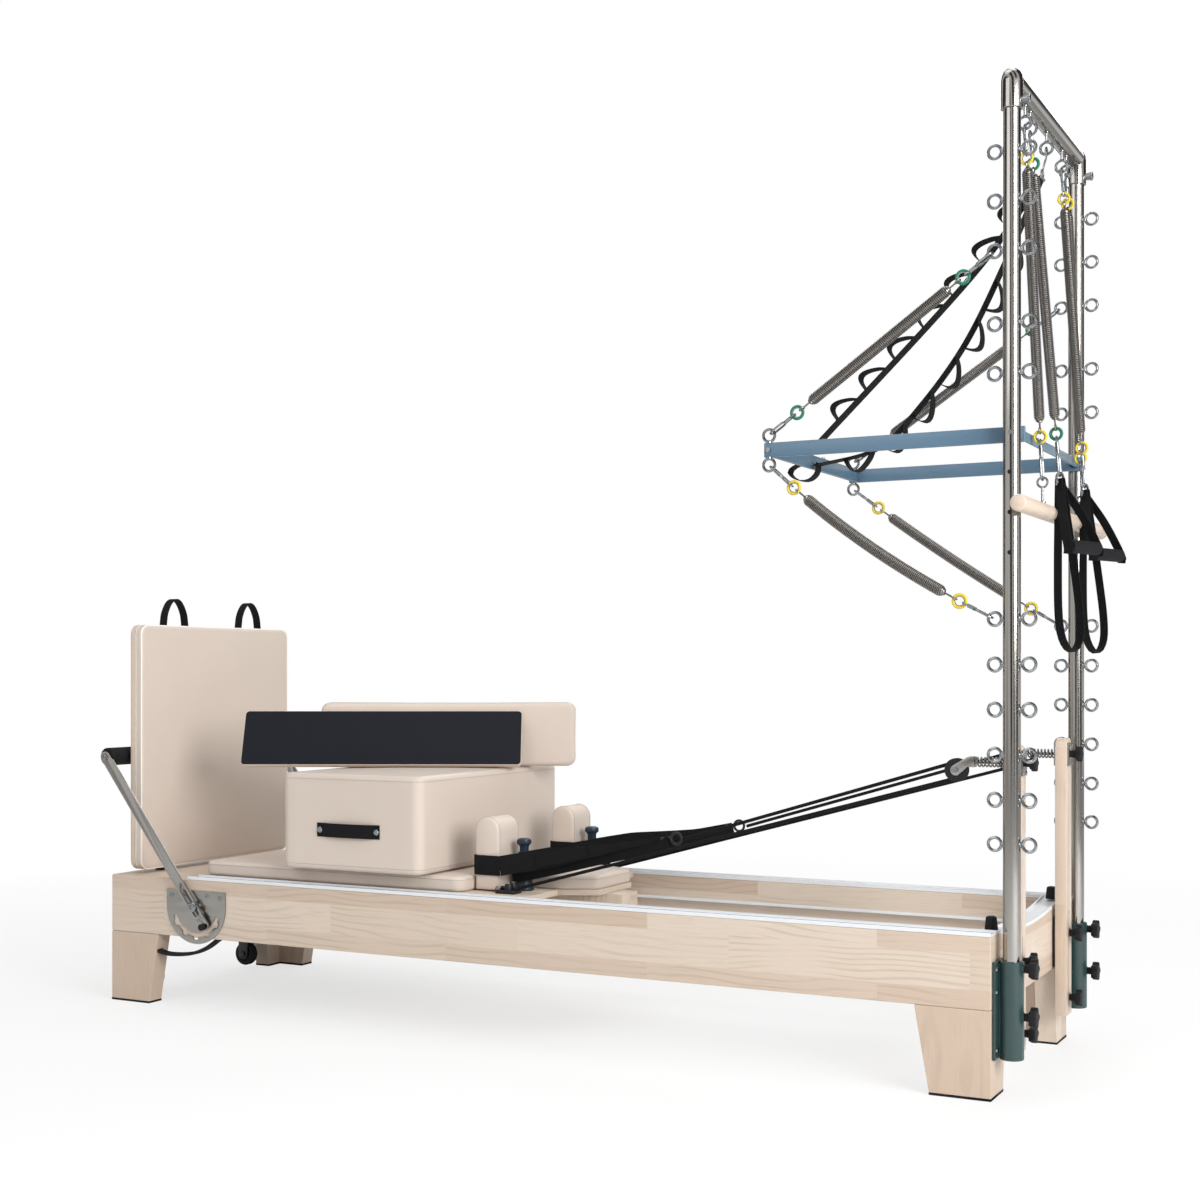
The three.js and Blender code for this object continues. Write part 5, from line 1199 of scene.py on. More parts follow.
class TOWER_OT_pads(Operator):
    """Carriage pad, headrest and shoulder rests"""

    bl_idname = "tower_unit.pads"
    bl_label = "Carriage pads"

    def execute(self, context):
        seam = in_mm(context.scene.tower_sizes.seam)
        main = Cushion((PAD_HEAD - PAD_FOOT, 622, 39), corner=30, edge=10, crown=2, pull=1, crease=0.35)
        place = Matrix.Translation(((PAD_FOOT + PAD_HEAD) / 2, 0, DECK_TOP + 0.3))
        pad("carriage_pad", main, place, "carriage", "carriage_pad", [(10.5, 0)], seam)
        self.headrest(seam)
        for word, side in SIDES.items():
            self.rest(word, side, seam)
        return {"FINISHED"}

    def headrest(self, seam):
        x0, x1, x2, wide, narrow = -1355.0, -1176.0, -1082.0, 138.0, 92.0
        loop = [(x0, -wide), (x1, -wide), (x2, -narrow), (x2, narrow), (x1, wide), (x0, wide)]
        bm = bmesh.new()
        flat(bm, [loop], 14.6, 1.2, Matrix.Translation(UP * BOARD_Z))
        add_piece("headrest_board", bm, "plywood", "headrest", "headrest")
        cushion = Cushion((x2 - x0, 2 * wide - 2.4, 36), corner=16, edge=9, crown=3, pull=0.5, crease=0.2)
        place = Matrix.Translation(((x0 + x2) / 2, 0, DECK_TOP - 0.3))
        made = pad("headrest", cushion, place, "headrest", "headrest", [(9, 0)], seam)
        for piece in (made, bpy.data.objects["headrest_seams"]):
            for vert in piece.data.vertices:
                past = (vert.co.x - HEAD_X) * 1000 - x1
                if past > 0:
                    vert.co.y *= 1 - (1 - narrow / wide) * past / (x2 - x1)

    def rest(self, word, side, seam):
        """A shoulder rest: an upright block with a round top, soft rims and pillowed flanks."""
        radius, high, half = 34.5, 188.0, 54.0
        loop = [(-radius, 3), *arc((0, high - radius), radius, 180, 0, 24), (radius, 3)]
        bm = bmesh.new()
        verts = [bm.verts.new((x, -half, z)) for x, z in loop]
        face = bmesh.ops.contextual_create(bm, geom=verts)["faces"]
        grown = bmesh.ops.extrude_face_region(bm, geom=face)["geom"]
        bmesh.ops.translate(bm, vec=(0, 2 * half, 0), verts=verts_in(grown))
        bevel(bm, [e for e in bm.edges if abs(e.verts[0].co.y - e.verts[1].co.y) < 0.1], 8, 5)
        flanks = [f for f in bm.faces if len(f.verts) > 6 and abs(f.normal.y) > 0.99]
        for face in flanks:
            for inset, rise in ((7, 1.2), (9, 1.0)):
                bmesh.ops.inset_region(bm, faces=[face], thickness=inset, depth=rise, use_even_offset=True)
        place = Matrix.Translation((-1356 + radius, side * REST_Y, DECK_TOP + 0.3))
        bmesh.ops.transform(bm, matrix=place, verts=bm.verts)
        node = f"shoulder_rest_{word}"
        made = add_piece(f"{node}_cover", bm, "leather", "carriage", node, angle=70)
        bm = bmesh.new()
        for y in (-half + 8, half - 8):
            sweep(bm, [place @ Vector((x * 1.004, y, z)) for x, z in loop], 2 * seam, sides=6)
        add_piece(f"{node}_seams", bm, "seam", "carriage", node, angle=60)


# Props on the bed


class TOWER_OT_box(Operator):
    """Padded sitting box with its strap handle"""

    bl_idname = "tower_unit.sitting_box"
    bl_label = "Sitting box"

    def execute(self, context):
        seam = in_mm(context.scene.tower_sizes.seam)
        cushion = Cushion((439, 720, 251.4), corner=28, edge=14, crown=3, pull=4, crease=0.8)
        place = Matrix.Translation((-1671.5, 0, 398.6))
        rim = cushion.half[2] - cushion.edge
        pad("sitting_box", cushion, place, "sitting_box", "sitting_box", [(rim, 0), (-rim, 0)], seam)
        # The handle stands up to 9.5 mm off the near face between its two screws
        strap, bright = bmesh.new(), bmesh.new()
        middle_x, face, strap_z = -1676, -356.5, 504
        half = [(98, 1.4), (80, 1.8), (60, 7)]
        shape = [(-x, off) for x, off in half] + [(0, 9.5)] + [(x, off) for x, off in reversed(half)]
        sweep(strap, smooth_path([(middle_x + x, face - off, strap_z) for x, off in shape], 26), 3, 36, UP)
        for x in (middle_x - 89, middle_x + 89):
            seat = Vector((x, face - 3, strap_z))
            turn(bright, [(0, 0), (8, 0), (8, 1.2), (6, 3.2), (0, 3.8)], seat, -ACROSS, 20)
        add_piece("box_handle", strap, "webbing", "sitting_box", "sitting_box")
        add_piece("box_handle_screws", bright, "zinc", "sitting_box", "sitting_box")
        dents = bmesh.new()
        for y in (-85, -30, 40, 95):
            turn(dents, [(0, 0.8), (4.6, 0.9), (6.4, 0.2), (6.8, -1.2)], Vector((-1456.2, y, 486)), AHEAD, 18)
        bmesh.ops.holes_fill(dents, edges=dents.edges)
        add_piece("box_buttons", dents, "leather", "sitting_box", "sitting_box")
        return {"FINISHED"}


class TOWER_OT_standing(Operator):
    """Standing board and its support slab, stood on the sitting box"""

    bl_idname = "tower_unit.standing"
    bl_label = "Standing board and slab"

    def execute(self, context):
        base = Matrix.Translation((-1751.5, -103.5, 653)) @ Matrix.Rotation(math.radians(27.5), 4, "Z")
        lean = base @ Matrix.Translation((0, 0, 8.28)) @ Matrix.Rotation(math.radians(-28), 4, "X")
        long, high = 769.0, 165.0
        # The core, and the non-slip face that is set into it 1.2 mm inside its outline
        parts = (("core", 0, 0, 17, 1.5, "plywood"), ("face", 1.2, -0.5, 1.4, 0.4, "grit"))
        for name, inset, low, thick, rim, finish in parts:
            loop = rounded_loop((inset - long / 2, inset), (long / 2 - inset, high - inset), 11 - inset)
            bm = bmesh.new()
            flat(bm, [loop], thick, rim, lean @ Matrix.Translation((0, low + thick / 2, 0)) @ XZ)
            add_piece(f"standing_board_{name}", bm, finish, "platform_board", "platform_board")
        slab = Cushion((710, 176, 60), corner=24, edge=11, crown=4, pull=2, crease=0.5)
        place = base @ Matrix.Translation((177, 152.77, 88.3)) @ Matrix.Rotation(math.pi / 2, 4, "X")
        seam = in_mm(context.scene.tower_sizes.seam)
        pad("support_slab", slab, place, "support_slab", "support_slab", [(19, 0), (-19, 0)], seam)
        return {"FINISHED"}


class TOWER_OT_jump(Operator):
    """Padded jump board with piping, ply back, feet and loops"""

    bl_idname = "tower_unit.jump_board"
    bl_label = "Jump board"

    def execute(self, context):
        sizes = context.scene.tower_sizes
        back_x, ply_x, pad_x, half, low, high = -2445.0, -2430.0, -2403.0, 327.0, 360.0, 1048.0
        corner = 28.0
        place = Matrix.Translation(((back_x + ply_x) / 2, 0, 0)) @ YZ
        bm = bmesh.new()
        flat(bm, [rounded_loop((-half, low), (half, high), corner)], ply_x - back_x, 1.5, place)
        add_piece("jump_board_ply", bm, "plywood", "jump_board", "jump_board")
        size = (high - low, 2 * half, pad_x - ply_x)
        cushion = Cushion(size, corner, edge=8, crown=3, pull=0.5, crease=0.35)
        turned = Matrix(((0, 0, 1, 0), (0, 1, 0, 0), (-1, 0, 0, 0), (0, 0, 0, 1)))
        place = Matrix.Translation((ply_x, 0, (low + high) / 2)) @ turned
        pad("jump_board", cushion, place, "jump_board", "jump_board")
        piping = bmesh.new()
        rim = cushion.half[2] - 3
        for height, radius in ((rim, in_mm(sizes.piping)), (-rim, in_mm(sizes.piping) * 0.8)):
            sweep(piping, cushion.seam(place, height, -0.2 * radius), 2 * radius, sides=8)
        add_piece("jump_board_piping", piping, "piping", "jump_board", "jump_board", angle=60)
        self.feet()
        self.handles(high)
        return {"FINISHED"}

    def feet(self):
        """The feet that stand on the rails' ends, and the bolts on the back."""
        bm, bolts = bmesh.new(), bmesh.new()
        for side in (-1, 1):
            rounded_block(bm, (-2444, side * 170, 350.4), (-2418, side * 230, 388), 2)
        add_piece("jump_board_feet", bm, "rubber", "jump_board", "jump_board")
        for y in (-280, 280):
            for z in (420, 990):
                screw(bolts, (-2445, y, z), -AHEAD, 7, 2.4)
        add_piece("jump_board_bolts", bolts, "zinc", "jump_board", "jump_board")

    def handles(self, top):
        """Webbing loops over the top edge, with their ends sewn flat to the back."""
        bm = bmesh.new()
        for side in (-1, 1):
            ends = (side * 119.0, side * 211.0)
            line = evenly((-2430, ends[0], top - 2), (-2430, ends[1], top - 2), 20)
            for i, point in enumerate(line):
                point.z += 79 * math.sqrt(math.sin(math.pi * (i / 20)))
            sweep(bm, smooth_path(line, 30), 3, 25, AHEAD)
            for y in ends:
                rounded_block(bm, (-2448.4, y - 13, top - 60), (-2445, y + 13, top - 2), 0.8)
        add_piece("jump_board_loops", bm, "webbing", "jump_board", "jump_board")


class TOWER_OT_footbar(Operator):
    """Foot bar with its arms, foam grip, pivot bolts and notched plates"""

    bl_idname = "tower_unit.footbar"
    bl_label = "Foot bar"

    def execute(self, context):
        along = Vector((-math.sin(LEAN), 0, math.cos(LEAN)))
        arms, core, trim, knob, grip, shaft = [bmesh.new() for _ in range(6)]
        loop = [*arc((0, GRIP_REACH), 16, 0, 180, 12), *arc((0, -61), 16, 180, 360, 12)]
        turned = Matrix.Rotation(-LEAN, 4, "Y") @ XZ
        end = PIVOT + along * GRIP_REACH
        for word, side in SIDES.items():
            out = ACROSS * side
            place = Matrix.Translation(PIVOT + out * 380.8) @ turned
            flat(arms, [loop, slot_loop(-22, 60, 8.6)], 6, 1, place)
            bar(trim, end + out * 383, end + out * 388, 10, 24)
            screw(trim, end + out * 388, out, 7, 2.4)
            for reach in (-52, 72):
                spot = PIVOT + along * reach
                bar(trim, spot + out * 377, spot + out * 386, 5, 14)
            self.plate(word, side)
        rod = [(0, -384), (10.5, -384), (12, -382.5), (12, 382.5), (10.5, 384), (0, 384)]
        turn(core, rod, end, ACROSS, 28)
        lock = PIVOT - along * 65 - ACROSS * 381
        turn(knob, [(0, 0), (5, 0), (5, 4), (9, 6), (9, 17), (7, 19), (0, 19.4)], lock, -ACROSS, 24)
        tube = [(12.2, -377.4), (22, -377.4), (25, -374), (25, 374), (22, 377.4), (12.2, 377.4)]
        turn(grip, [*tube, tube[0]], end, ACROSS, 40)
        parts = (("arm_bars", arms, "stainless"), ("core", core, "stainless_x"), ("trim", trim, "zinc"),
                 ("knob", knob, "rubber"))
        add_pieces("footbar", parts, "footbar", "footbar_arms")
        made = add_piece("footbar_foam", grip, "foam", "footbar", "footbar_grip")
        cap = [(0, 0), (13, 0), (14, 1), (14, 4), (11, 6), (6, 6), (5.4, 3.4), (0, 3.4)]
        for out in (-ACROSS, ACROSS):
            bar(shaft, PIVOT + out * 300, PIVOT + out * 386, 8, 24)
            bar(shaft, PIVOT + out * 371.1, PIVOT + out * 377.4, 13, 24)
            turn(shaft, cap, PIVOT + out * 384.1, out, 28)
        bar(shaft, PIVOT - ACROSS * 371.1, PIVOT + ACROSS * 371.1, 8, 24)
        add_piece("footbar_bolts", shaft, "zinc", "footbar_pivot", "footbar_shaft")
        return {"FINISHED"}

    def plate(self, word, side):
        """The plate on a rail's outside, its slot an arc below the pivot that dips at each notch."""
        reach, rise, slot_in, slot_out = 102.0, 43.0, 71.0, 83.0
        shape = [(reach, rise), *arc((0, 0), reach, 360, 180, 40), (-reach, rise)]
        lower = []
        for angle in [200 + 140 * i / 84 for i in range(85)]:
            nearest = min(abs(angle - notch) for notch in (214, 242, 270, 298, 326)) / 6.2
            deep = slot_out + 8 * math.sqrt(max(1 - nearest * nearest, 0))
            lower += arc((0, 0), deep, angle, angle, 1)[:1]
        slot, hole = lower + arc((0, 0), slot_in, 340, 200, 60), arc((0, 0), 8.6, 0, 345, 23)
        bm = bmesh.new()
        flat(bm, [shape, slot, hole], 3.4, 0.5, Matrix.Translation(PIVOT + ACROSS * side * 369.05) @ XZ)
        add_piece(f"notched_plate_{word}_sheet", bm, "stainless_x", node=f"notched_plate_{word}")
        bolts = bmesh.new()
        for dx, dz in ((-84, 27), (84, 27), (-40, 30), (40, 30)):
            screw(bolts, PIVOT + Vector((dx, side * 370.6, dz)), ACROSS * side, 6.5, 2.4)
        add_piece(f"notched_plate_{word}_screws", bolts, "zinc", node=f"notched_plate_{word}")


# Tower


class TOWER_OT_posts(Operator):
    """Polished posts with their eyes, sockets and top rail"""

    bl_idname = "tower_unit.posts"
    bl_label = "Posts"

    def execute(self, context):
        for word, side in SIDES.items():
            y = side * POST_Y
            tube, eyes, hole_shade_discs = bmesh.new(), bmesh.new(), bmesh.new()
            turn(tube, [(17, 90), (19, 90), (19, 2150), (17, 2150), (17, 90)], Vector((POST_X, y, 0)), UP, 48)
            for z in EYES:
                for way in (-1, 1):
                    eye_bolt(eyes, (POST_X + way * 37, y, z), (POST_X + way * (POST_R - 1), y, z))
            # Thin black discs over the post's holes are painted shade inside the holes
            for z in (1342, 1256, 1170):
                seat = Vector((POST_X, side * (POST_Y + POST_R), z))
                turn(hole_shade_discs, [(0, -0.6), (4.4, -0.4), (5, 0.5), (0, 0.6)], seat, ACROSS * side, 18)
            parts = (("tube", tube, "stainless"), ("eyes", eyes, "zinc"), ("holes", hole_shade_discs, "rubber"))
            add_pieces(f"post_{word}", parts, node=f"post_{word}")
            self.socket(word, y)
        self.top_rail()
        return {"FINISHED"}

    def socket(self, word, y):
        """The clamp on the rail's end that a post stands in, with its knobs and bolts."""
        body, knobs, bolts = bmesh.new(), bmesh.new(), bmesh.new()
        sleeve = [(19.3, 86), (24.6, 86), (25.8, 87.4), (25.8, 294.6), (24.6, 296), (19.3, 296), (19.3, 86)]
        turn(body, sleeve, Vector((POST_X, y, 0)), UP, 40)
        side = math.copysign(1, y)
        rounded_block(body, (0.3, side * 286.5, 86), (8, side * 358, 296), 2)
        rounded_block(body, (7, y - 14, 92), (POST_X - 19.6, y + 14, 290), 1)
        for z in (178, 281):
            bar(body, (POST_X + 20, y, z), (POST_X + 27, y, z), 10, 24)
            star_knob(knobs, (POST_X + 24, y, z), 5, 23, 16, 15)
        for z in (108, 232, 280):
            nut(bolts, (8, y - side * 28, z), AHEAD, 6, 5)
            nut(bolts, (8, y + side * 30, z), AHEAD, 5.4, 4)
        parts = (("body", body, "green"), ("knobs", knobs, "rubber"), ("bolts", bolts, "zinc"))
        add_pieces(f"socket_{word}", parts, node=f"socket_{word}")

    def top_rail(self):
        """The cross tube, its caps over the posts with their lock knobs, and the eyes under it."""
        tube, eyes = bmesh.new(), bmesh.new()
        bar(tube, (POST_X, -POST_Y, 2183), (POST_X, POST_Y, 2183), 22, 48)
        cap = [(0, 2206.6), (7, 2206), (14, 2203.2), (19.5, 2197.5), (22.8, 2189), (24, 2178), (24, 2121),
               (23, 2120), (19.3, 2120)]
        for side in (-1, 1):
            turn(tube, cap, Vector((POST_X, side * POST_Y, 0)), UP, 44)
            star_knob(eyes, (POST_X + 22, side * POST_Y, 2138), 4, 11, 7, 12)
            bar(eyes, (POST_X + 20, side * POST_Y, 2138), (POST_X + 30, side * POST_Y, 2138), 5, 14)
        bmesh.ops.holes_fill(tube, edges=[e for e in tube.edges if e.is_boundary])
        for y in (-206, -159, 0, 159, 206):
            eye_bolt(eyes, (POST_X, y, RAIL_EYE_Z), (POST_X, y, 2163))
        add_pieces("top_rail", (("tube", tube, "stainless"), ("eyes", eyes, "zinc")), node="top_rail")


class TOWER_OT_risers(Operator):
    """Wooden risers with their pulley blocks, plates and knobs"""

    bl_idname = "tower_unit.risers"
    bl_label = "Risers and pulleys"

    def execute(self, context):
        sizes = context.scene.tower_sizes
        for word, side in SIDES.items():
            middle, half = side * RISER_Y, 28.5
            low, high, first, last = 83.0, 755.0, 7.8, 35.8
            loop = [*arc((middle, high - half), half, 0, 180, 20), (middle - half, low), (middle + half, low)]
            bm = bmesh.new()
            slot = slot_loop(111, 329, 6, middle)
            place = Matrix.Translation(((first + last) / 2, 0, 0)) @ YZ
            flat(bm, [loop, slot], last - first, in_mm(sizes.edge) * 0.7, place)
            add_piece(f"riser_{word}_board", bm, "beech_z", node=f"riser_{word}")
            self.fittings(word, middle)
            self.pulley(word, side)
        return {"FINISHED"}

    def fittings(self, word, middle):
        """The plates that hold the pulley's rod, the slot's knobs and the guide behind."""
        plates, knobs, guide = bmesh.new(), bmesh.new(), bmesh.new()
        half_y, half_z = 21, 28
        loop = [(middle + y * half_y, ROD_Z + z * half_z) for y, z in ((-1, -1), (1, -1), (1, 1), (-1, 1))]
        for x in (5.6, 38.0):
            flat(plates, [loop], 4.4, 0.7, Matrix.Translation((x, 0, 0)) @ YZ)
        for dy, dz in ((-15, -22), (15, -22), (-15, 22), (15, 22)):
            screw(plates, (40.2, middle + dy, ROD_Z + dz), AHEAD, 3.6, 1.6)
        for z in (125, 282):
            turn(plates, [(5, 0), (12, 0), (12, 1.6), (5, 1.8)], Vector((35.9, middle, z)), AHEAD, 24)
            star_knob(knobs, (36.5, middle, z), 5, 21, 15, 15)
        star_knob(knobs, (40.3, middle, ROD_Z), 5, 19, 14, 13)
        rounded_block(guide, (0.3, middle - half_y, 200), (8.4, middle + half_y, 320), 2)
        parts = (("plates", plates, "stainless_x"), ("knobs", knobs, "rubber"), ("guide", guide, "nylon"))
        add_pieces(f"riser_{word}", parts, node=f"riser_{word}")

    def pulley(self, word, side):
        """The pulley on its sprung rod: cheeks, pins, wheel and coil."""
        x, y, z = SHEAVE.x, side * SHEAVE.y, SHEAVE.z
        cheeks, bright, wheel, coil = [bmesh.new() for _ in range(4)]
        tops, feet = [[(-69, ROD_Z + rise), (-84, ROD_Z + rise)] for rise in (11, -11)]
        loop = [*tops, *arc((x, z), 12, 125, 300, 16), *reversed(feet)]
        for way in (-1, 1):
            flat(cheeks, [loop], 2.5, 0.5, Matrix.Translation((0, y + way * 10.6, 0)) @ XZ)
            nut(bright, (x, y + way * 11.4, z), ACROSS * way, 6, 4)
        rounded_block(cheeks, (-82, y - 9.6, ROD_Z - 12), (-69, y + 9.6, ROD_Z + 12), 1)
        bar(bright, (x, y - 12, z), (x, y + 12, z), 4, 16)
        bar(bright, (-76, y, ROD_Z), (3.2, y, ROD_Z), 4, 14)
        parts = (("cheeks", cheeks, "stainless_x"), ("pins", bright, "zinc"))
        add_pieces(f"pulley_block_{word}", parts, node=f"pulley_block_{word}")
        rim = [(4.6, -8), (25.4, -8), (26.4, -7), (23, -5), (14, -3), (12.7, 0)]
        profile = rim + [(radius, -off) for radius, off in reversed(rim[:-1])] + rim[:1]
        turn(wheel, profile, Vector((x, y, z)), ACROSS, 40)
        add_piece(f"sheave_{word}_wheel", wheel, "nylon", f"sheave_{word}", f"sheave_{word}")
        first, last = Vector((-66, y, ROD_Z)), Vector((0.4, y, ROD_Z))
        straight_coil(coil, first, last, 10, 2, 8.3, taper=0, steps=18, sides=7)
        add_piece(f"pulley_spring_{word}_coil", coil, "spring", node=f"pulley_spring_{word}")


class TOWER_OT_push(Operator):
    """Blue push-through frame on its pivots between the posts"""

    bl_idname = "tower_unit.push_through"
    bl_label = "Push-through bar"

    def execute(self, context):
        tube, pins, collars = bmesh.new(), bmesh.new(), bmesh.new()
        for y in (-ARM_Y, ARM_Y):
            block(tube, (-545, y - 5, PUSH_Z - 17), (56, y + 5, PUSH_Z + 17))
        for low, high, half in ((-530, -520, 17), (41.5, 47, 11)):
            block(tube, (low, -290.2, PUSH_Z - half), (high, 290.2, PUSH_Z + half))
        soften(tube, 1.8, 3)
        for side in (-1, 1):
            out, eye = ACROSS * side, Vector((ARM_X, side * ARM_Y, PUSH_Z))
            bar(pins, (POST_X, side * 286, PUSH_Z), (POST_X, side * 341, PUSH_Z), 4.5, 18)
            seat = Vector((POST_X, side * 286.8, PUSH_Z))
            turn(collars, [(4.5, 0), (9, 0), (10, 1), (10, 3), (4.5, 3.2)], seat, out, 24)
            for way in (-UP, UP):
                eye_bolt(pins, eye + way * 34, eye + way * 16.6)
            nut(pins, eye + out * 5, out, 6, 4)
        for y in (LADDER_Y, -LADDER_Y):
            bar(pins, (-525, y, PUSH_Z + 16), (-525, y, PUSH_Z + 19), 5, 12)
            screw(pins, (-525, y, PUSH_Z + 19), UP, 5, 2)
        parts = (("frame", tube, "blue"), ("pins", pins, "zinc"), ("collars", collars, "nylon"))
        add_pieces("push_through", parts, "push_through", "push_through_bar")
        return {"FINISHED"}


class TOWER_OT_springs(Operator):
    """Close-wound tower springs with snap hooks and coloured sleeves"""

    bl_idname = "tower_unit.springs"
    bl_label = "Tower springs"

    def execute(self, context):
        sizes = context.scene.tower_sizes
        short, hung = (85, 121, 85, 121), (100, 131, 79, 100)
        green, yellow = "sleeve_green", "sleeve_yellow"
        for word, side in SIDES.items():
            near = word == "near"
            bow = Vector((-0.707, 0, -0.707)) * (24 if near else 10)
            upper = mirrored([(ARM_X, ARM_Y, PUSH_Z + 34), (-3, POST_Y, EYES[2])], side)
            lower = mirrored([(ARM_X, ARM_Y, PUSH_Z - 34), (-3, POST_Y, EYES[5])], side)
            roll = mirrored([(ROLL_BAR.x, ROLL_EYE_Y, ROLL_EYE_Z), (POST_X, 206, RAIL_EYE_Z)], side)
            handle = mirrored([HANDLE_EYE, (POST_X, 159, RAIL_EYE_Z)], side)
            sleeve = green if near else yellow
            tower_spring(f"upper_spring_{word}", *upper, short, sizes, green, "push_through", bold=1.12)
            tower_spring(f"lower_spring_{word}", *lower, short, sizes, yellow, "push_through", bow, 1.12)
            tower_spring(f"roll_spring_{word}", *roll, hung, sizes, yellow, "roll_down")
            tower_spring(f"handle_spring_{word}", *handle, hung, sizes, sleeve, f"handle_{word}")
        return {"FINISHED"}


class TOWER_OT_roll(Operator):
    """Wooden roll-down bar hung from its springs"""

    bl_idname = "tower_unit.roll_down"
    bl_label = "Roll-down bar"

    def execute(self, context):
        bm, eyes = bmesh.new(), bmesh.new()
        turn(bm, [(0, -430), (14, -430), (17, -428), (18, -424), (18, 424), (17, 428), (14, 430), (0, 430)],
             ROLL_BAR, ACROSS, 40)
        for y in (-ROLL_EYE_Y, ROLL_EYE_Y):
            eye, seat = [Vector((ROLL_BAR.x, y, z)) for z in (ROLL_EYE_Z, 1284)]
            ring(eyes, eye, 11, 2.5, ACROSS, 26, 8)
            bar(eyes, eye - UP * 11, seat - UP, 3, 12)
            bar(eyes, seat + UP * 4, seat, 7, 18)
        parts = (("wood", bm, "beech_y"), ("eyes", eyes, "zinc"))
        add_pieces("roll_down", parts, "roll_down", "roll_down_bar")
        return {"FINISHED"}


class TOWER_OT_handles(Operator):
    """Webbing handles with foam grips and long loops"""

    bl_idname = "tower_unit.handles"
    bl_label = "Pull handles"

    def execute(self, context):
        web = in_mm(context.scene.tower_sizes.web)
        # The grips hang turned 70 degrees from the bed's length
        way = Vector((math.cos(math.radians(70)), math.sin(math.radians(70)), 0))
        across = Vector((-way.y, way.x, 0))
        for word, side in SIDES.items():
            apex, grip = mirrored([HANDLE_EYE, (146, HANDLE_EYE.y, 1190)], side)
            node = f"pull_handle_{word}"
            straps, foam, trim = bmesh.new(), bmesh.new(), bmesh.new()
            for out in (way, -way):
                end = grip + out * 62
                line = [apex - UP * 12, apex.lerp(end, 0.5) + out * 6, end, end - UP * 17]
                sweep(straps, smooth_path(line, 16), web, 22, across)
            turn(foam, [(0, -56), (13, -56), (15, -53.5), (15, 53.5), (13, 56), (0, 56)], grip, way, 28)
            bar(straps, grip - way * 63, grip + way * 63, 6, 14)
            ring(trim, apex, 13.5, 3, across, 26, 8)
            bar(trim, apex - UP * 13 - way * 14, apex - UP * 13 + way * 14, 3, 12)
            self.long_loop(straps, apex, web)
            add_piece(f"{node}_straps", straps, "webbing", f"handle_{word}", node)
            add_piece(f"{node}_foam", foam, "foam", f"handle_{word}", node)
            add_piece(f"{node}_ring", trim, "zinc", f"handle_{word}", node)
        return {"FINISHED"}

    def long_loop(self, bm, apex, web):
        """The loop below the grip, given as shares of its half width and of its drop."""
        half, fall = 34.0, Vector((26, 0, 960 - apex.z))
        turned = math.radians(60)
        wide = Vector((math.cos(turned), math.sin(turned), 0))
        left = [(-0.1, 0), (-0.3, 0.15), (-0.75, 0.5), (-1, 0.78), (-0.8, 0.93)]
        shares = [*left, (0, 1), *[(-a, b) for a, b in reversed(left)]]
        line = [apex + wide * half * a + fall * b for a, b in shares]
        sweep(bm, smooth_path(line, 56), web, 22, Vector((-wide.y, wide.x, 0)))


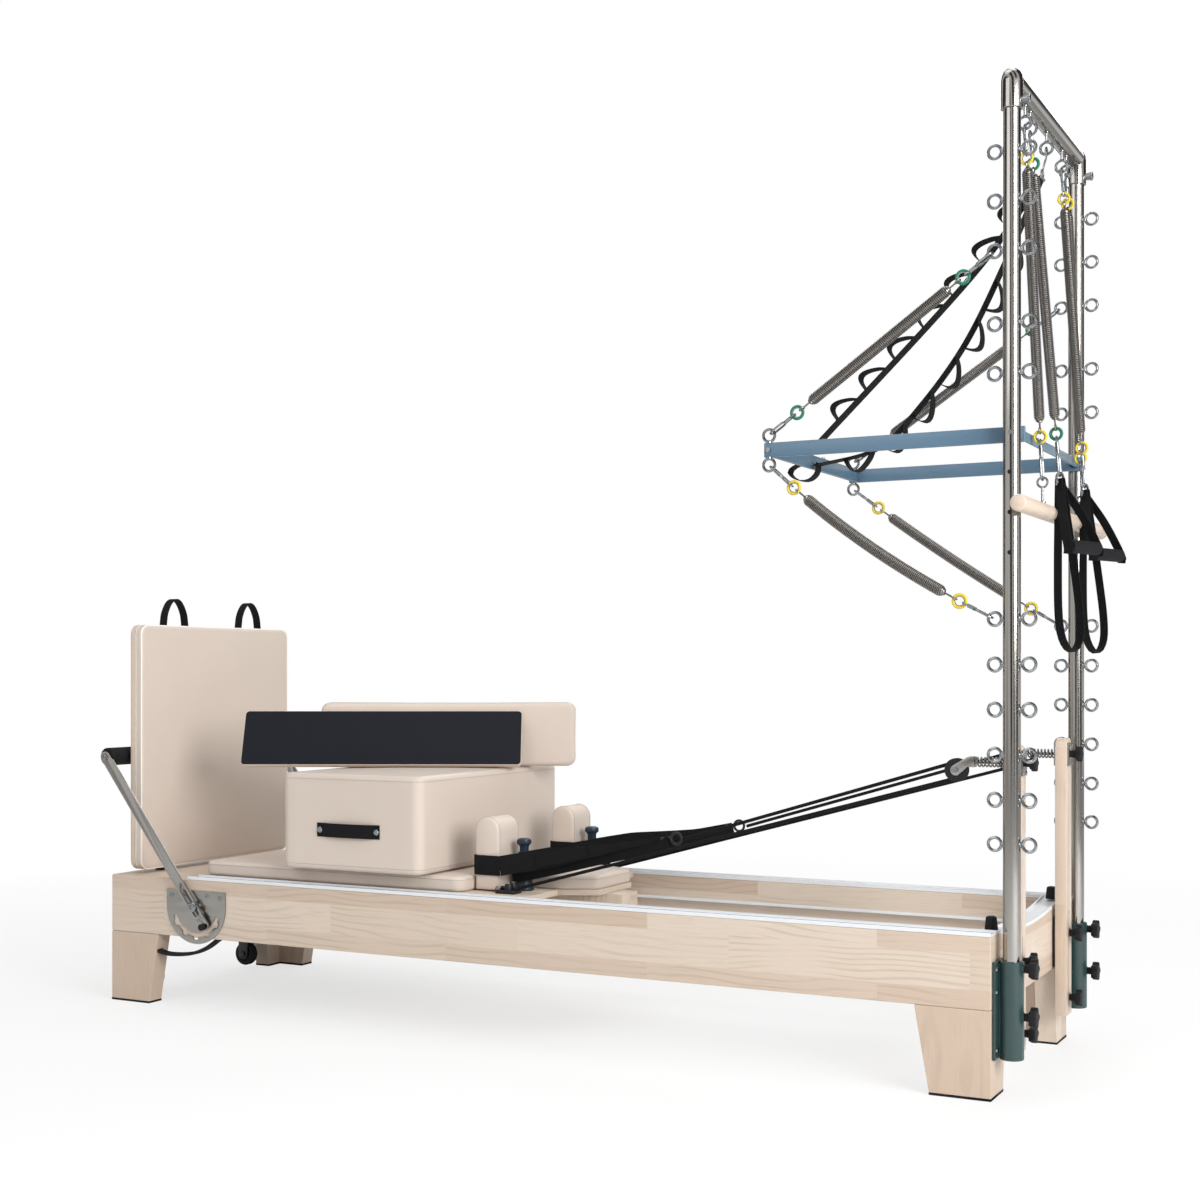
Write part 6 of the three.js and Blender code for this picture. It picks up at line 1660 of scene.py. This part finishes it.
class TOWER_OT_ladder(Operator):
    """Webbing ladder strap from the top rail to the push-through bar, with its sewn foot loops"""

    bl_idname = "tower_unit.ladder"
    bl_label = "Ladder strap"

    def execute(self, context):
        web = in_mm(context.scene.tower_sizes.web)
        y, half = LADDER_Y, 19.0
        top = Vector((POST_X, y, 2046))
        # Each strand: its lower end, its shape in shares of the way there, its loops' side and its first loop
        strands = (
            (Vector((-516.7, y, 1464.3)), ((0, 0), (0.29, 0.353), (0.93, 0.942), (1, 1)), 1, 60),
            (Vector((-513.7, y, 1417)),
             ((0, 0), (0.153, 0.293), (0.325, 0.58), (0.524, 0.803), (0.71, 0.948), (1, 1)), -1, 150),
        )
        bm = bmesh.new()
        for stop, shares, way, first_run in strands:
            span = stop - top
            line = smooth_path([top + Vector((span.x * a, 0, span.z * b)) for a, b in shares], 44)
            sweep(bm, line, web, 2 * half, ACROSS)
            self.foot_loops(bm, line, way, first_run, web, half)
        under = [(x, y, z) for x, z in ((-506, 1424), (-510, 1398), (-532, 1382), (-562, 1386), (-580, 1404),
                                        (-560, 1420), (-520, 1424))]
        sweep(bm, smooth_path(under, 18), web, 2 * half - 4, ACROSS)
        start, stop = TO_FRAME @ Vector((24, y, 2040)), TO_FRAME @ Vector((-500, y, 1470))
        made = add_piece("ladder_strap_web", bm, "webbing", None, "ladder_strap")
        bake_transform(made, "root", "push_through", start=start, end=stop)
        hook = bmesh.new()
        ring(hook, top + UP * 8, 9, 2.6, AHEAD, 22, 8)
        line = [(POST_X, y, z) for y, z in ((0, 2110), (-8, 2096), (-26, 2078), (-38, 2062))]
        sweep(hook, smooth_path(line, 12), 5, sides=8)
        ring(hook, Vector((POST_X, 0, 2117)), 8, 2.6, AHEAD, 22, 8)
        bar(hook, (POST_X, y - half, 2044), (POST_X, y + half, 2044), 3.4, 12)
        add_piece("ladder_strap_hook", hook, "zinc", node="ladder_strap")
        return {"FINISHED"}

    def foot_loops(self, bm, line, way, first_run, web, half):
        """Fin-shaped loops sewn along one side of a strand."""
        runs = runs_along(line)

        def at(run):
            i = next(i for i in range(len(runs) - 1) if runs[i + 1] >= run)
            return line[i].lerp(line[i + 1], (run - runs[i]) / (runs[i + 1] - runs[i])), line[i + 1] - line[i]

        run, sewn, pitch, margin = first_run, 70, 98, 60
        bulge = [math.sin(math.pi * i / 14) for i in range(15)]
        while run + sewn < runs[-1] - margin:
            (first, along), (last, _) = at(run), at(run + sewn)
            out = Vector((along.z, 0, -along.x)).normalized() * way
            loop = [first.lerp(last, i / 14 + 0.24 * b) + out * (web * 0.5 + 36 * b**0.8)
                    for i, b in enumerate(bulge)]
            sweep(bm, smooth_path(loop, 16), web * 0.9, 2 * half - 2, ACROSS)
            run += pitch


OPERATORS = (
    TOWER_OT_stage, TOWER_OT_ropes, TOWER_OT_loops, TOWER_OT_frame, TOWER_OT_tracks, TOWER_OT_wheels,
    TOWER_OT_carriage, TOWER_OT_pads, TOWER_OT_box, TOWER_OT_standing, TOWER_OT_jump, TOWER_OT_footbar,
    TOWER_OT_posts, TOWER_OT_risers, TOWER_OT_push, TOWER_OT_springs, TOWER_OT_roll, TOWER_OT_handles,
    TOWER_OT_ladder,
)


class TOWER_PT_pieces(Panel):
    """Lists the unit's pieces in the sidebar"""

    bl_idname = "TOWER_PT_pieces"
    bl_label = "Pilates tower unit"
    bl_space_type = "VIEW_3D"
    bl_region_type = "UI"
    bl_category = "Tower Unit"

    def draw(self, context):
        layout = self.layout
        for group in (context.scene.tower_colours, context.scene.tower_sizes):
            column = layout.column(align=True)
            for name in group.__annotations__:
                column.prop(group, name)
        column = layout.column(align=True)
        for operator in OPERATORS:
            column.operator(operator.bl_idname)


CLASSES = (TowerColours, TowerSizes, *OPERATORS, TOWER_PT_pieces)


def register():
    for made in CLASSES:
        bpy.utils.register_class(made)
    bpy.types.Scene.tower_colours = PointerProperty(type=TowerColours)
    bpy.types.Scene.tower_sizes = PointerProperty(type=TowerSizes)


def unregister():
    del bpy.types.Scene.tower_sizes
    del bpy.types.Scene.tower_colours
    for made in reversed(CLASSES):
        bpy.utils.unregister_class(made)


def main():
    register()
    finishes.update(make_finishes(bpy.context.scene.tower_colours))
    for operator in OPERATORS:
        group, name = operator.bl_idname.split(".")
        getattr(getattr(bpy.ops, group), name)()
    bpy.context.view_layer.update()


if __name__ == "__main__":
    main()
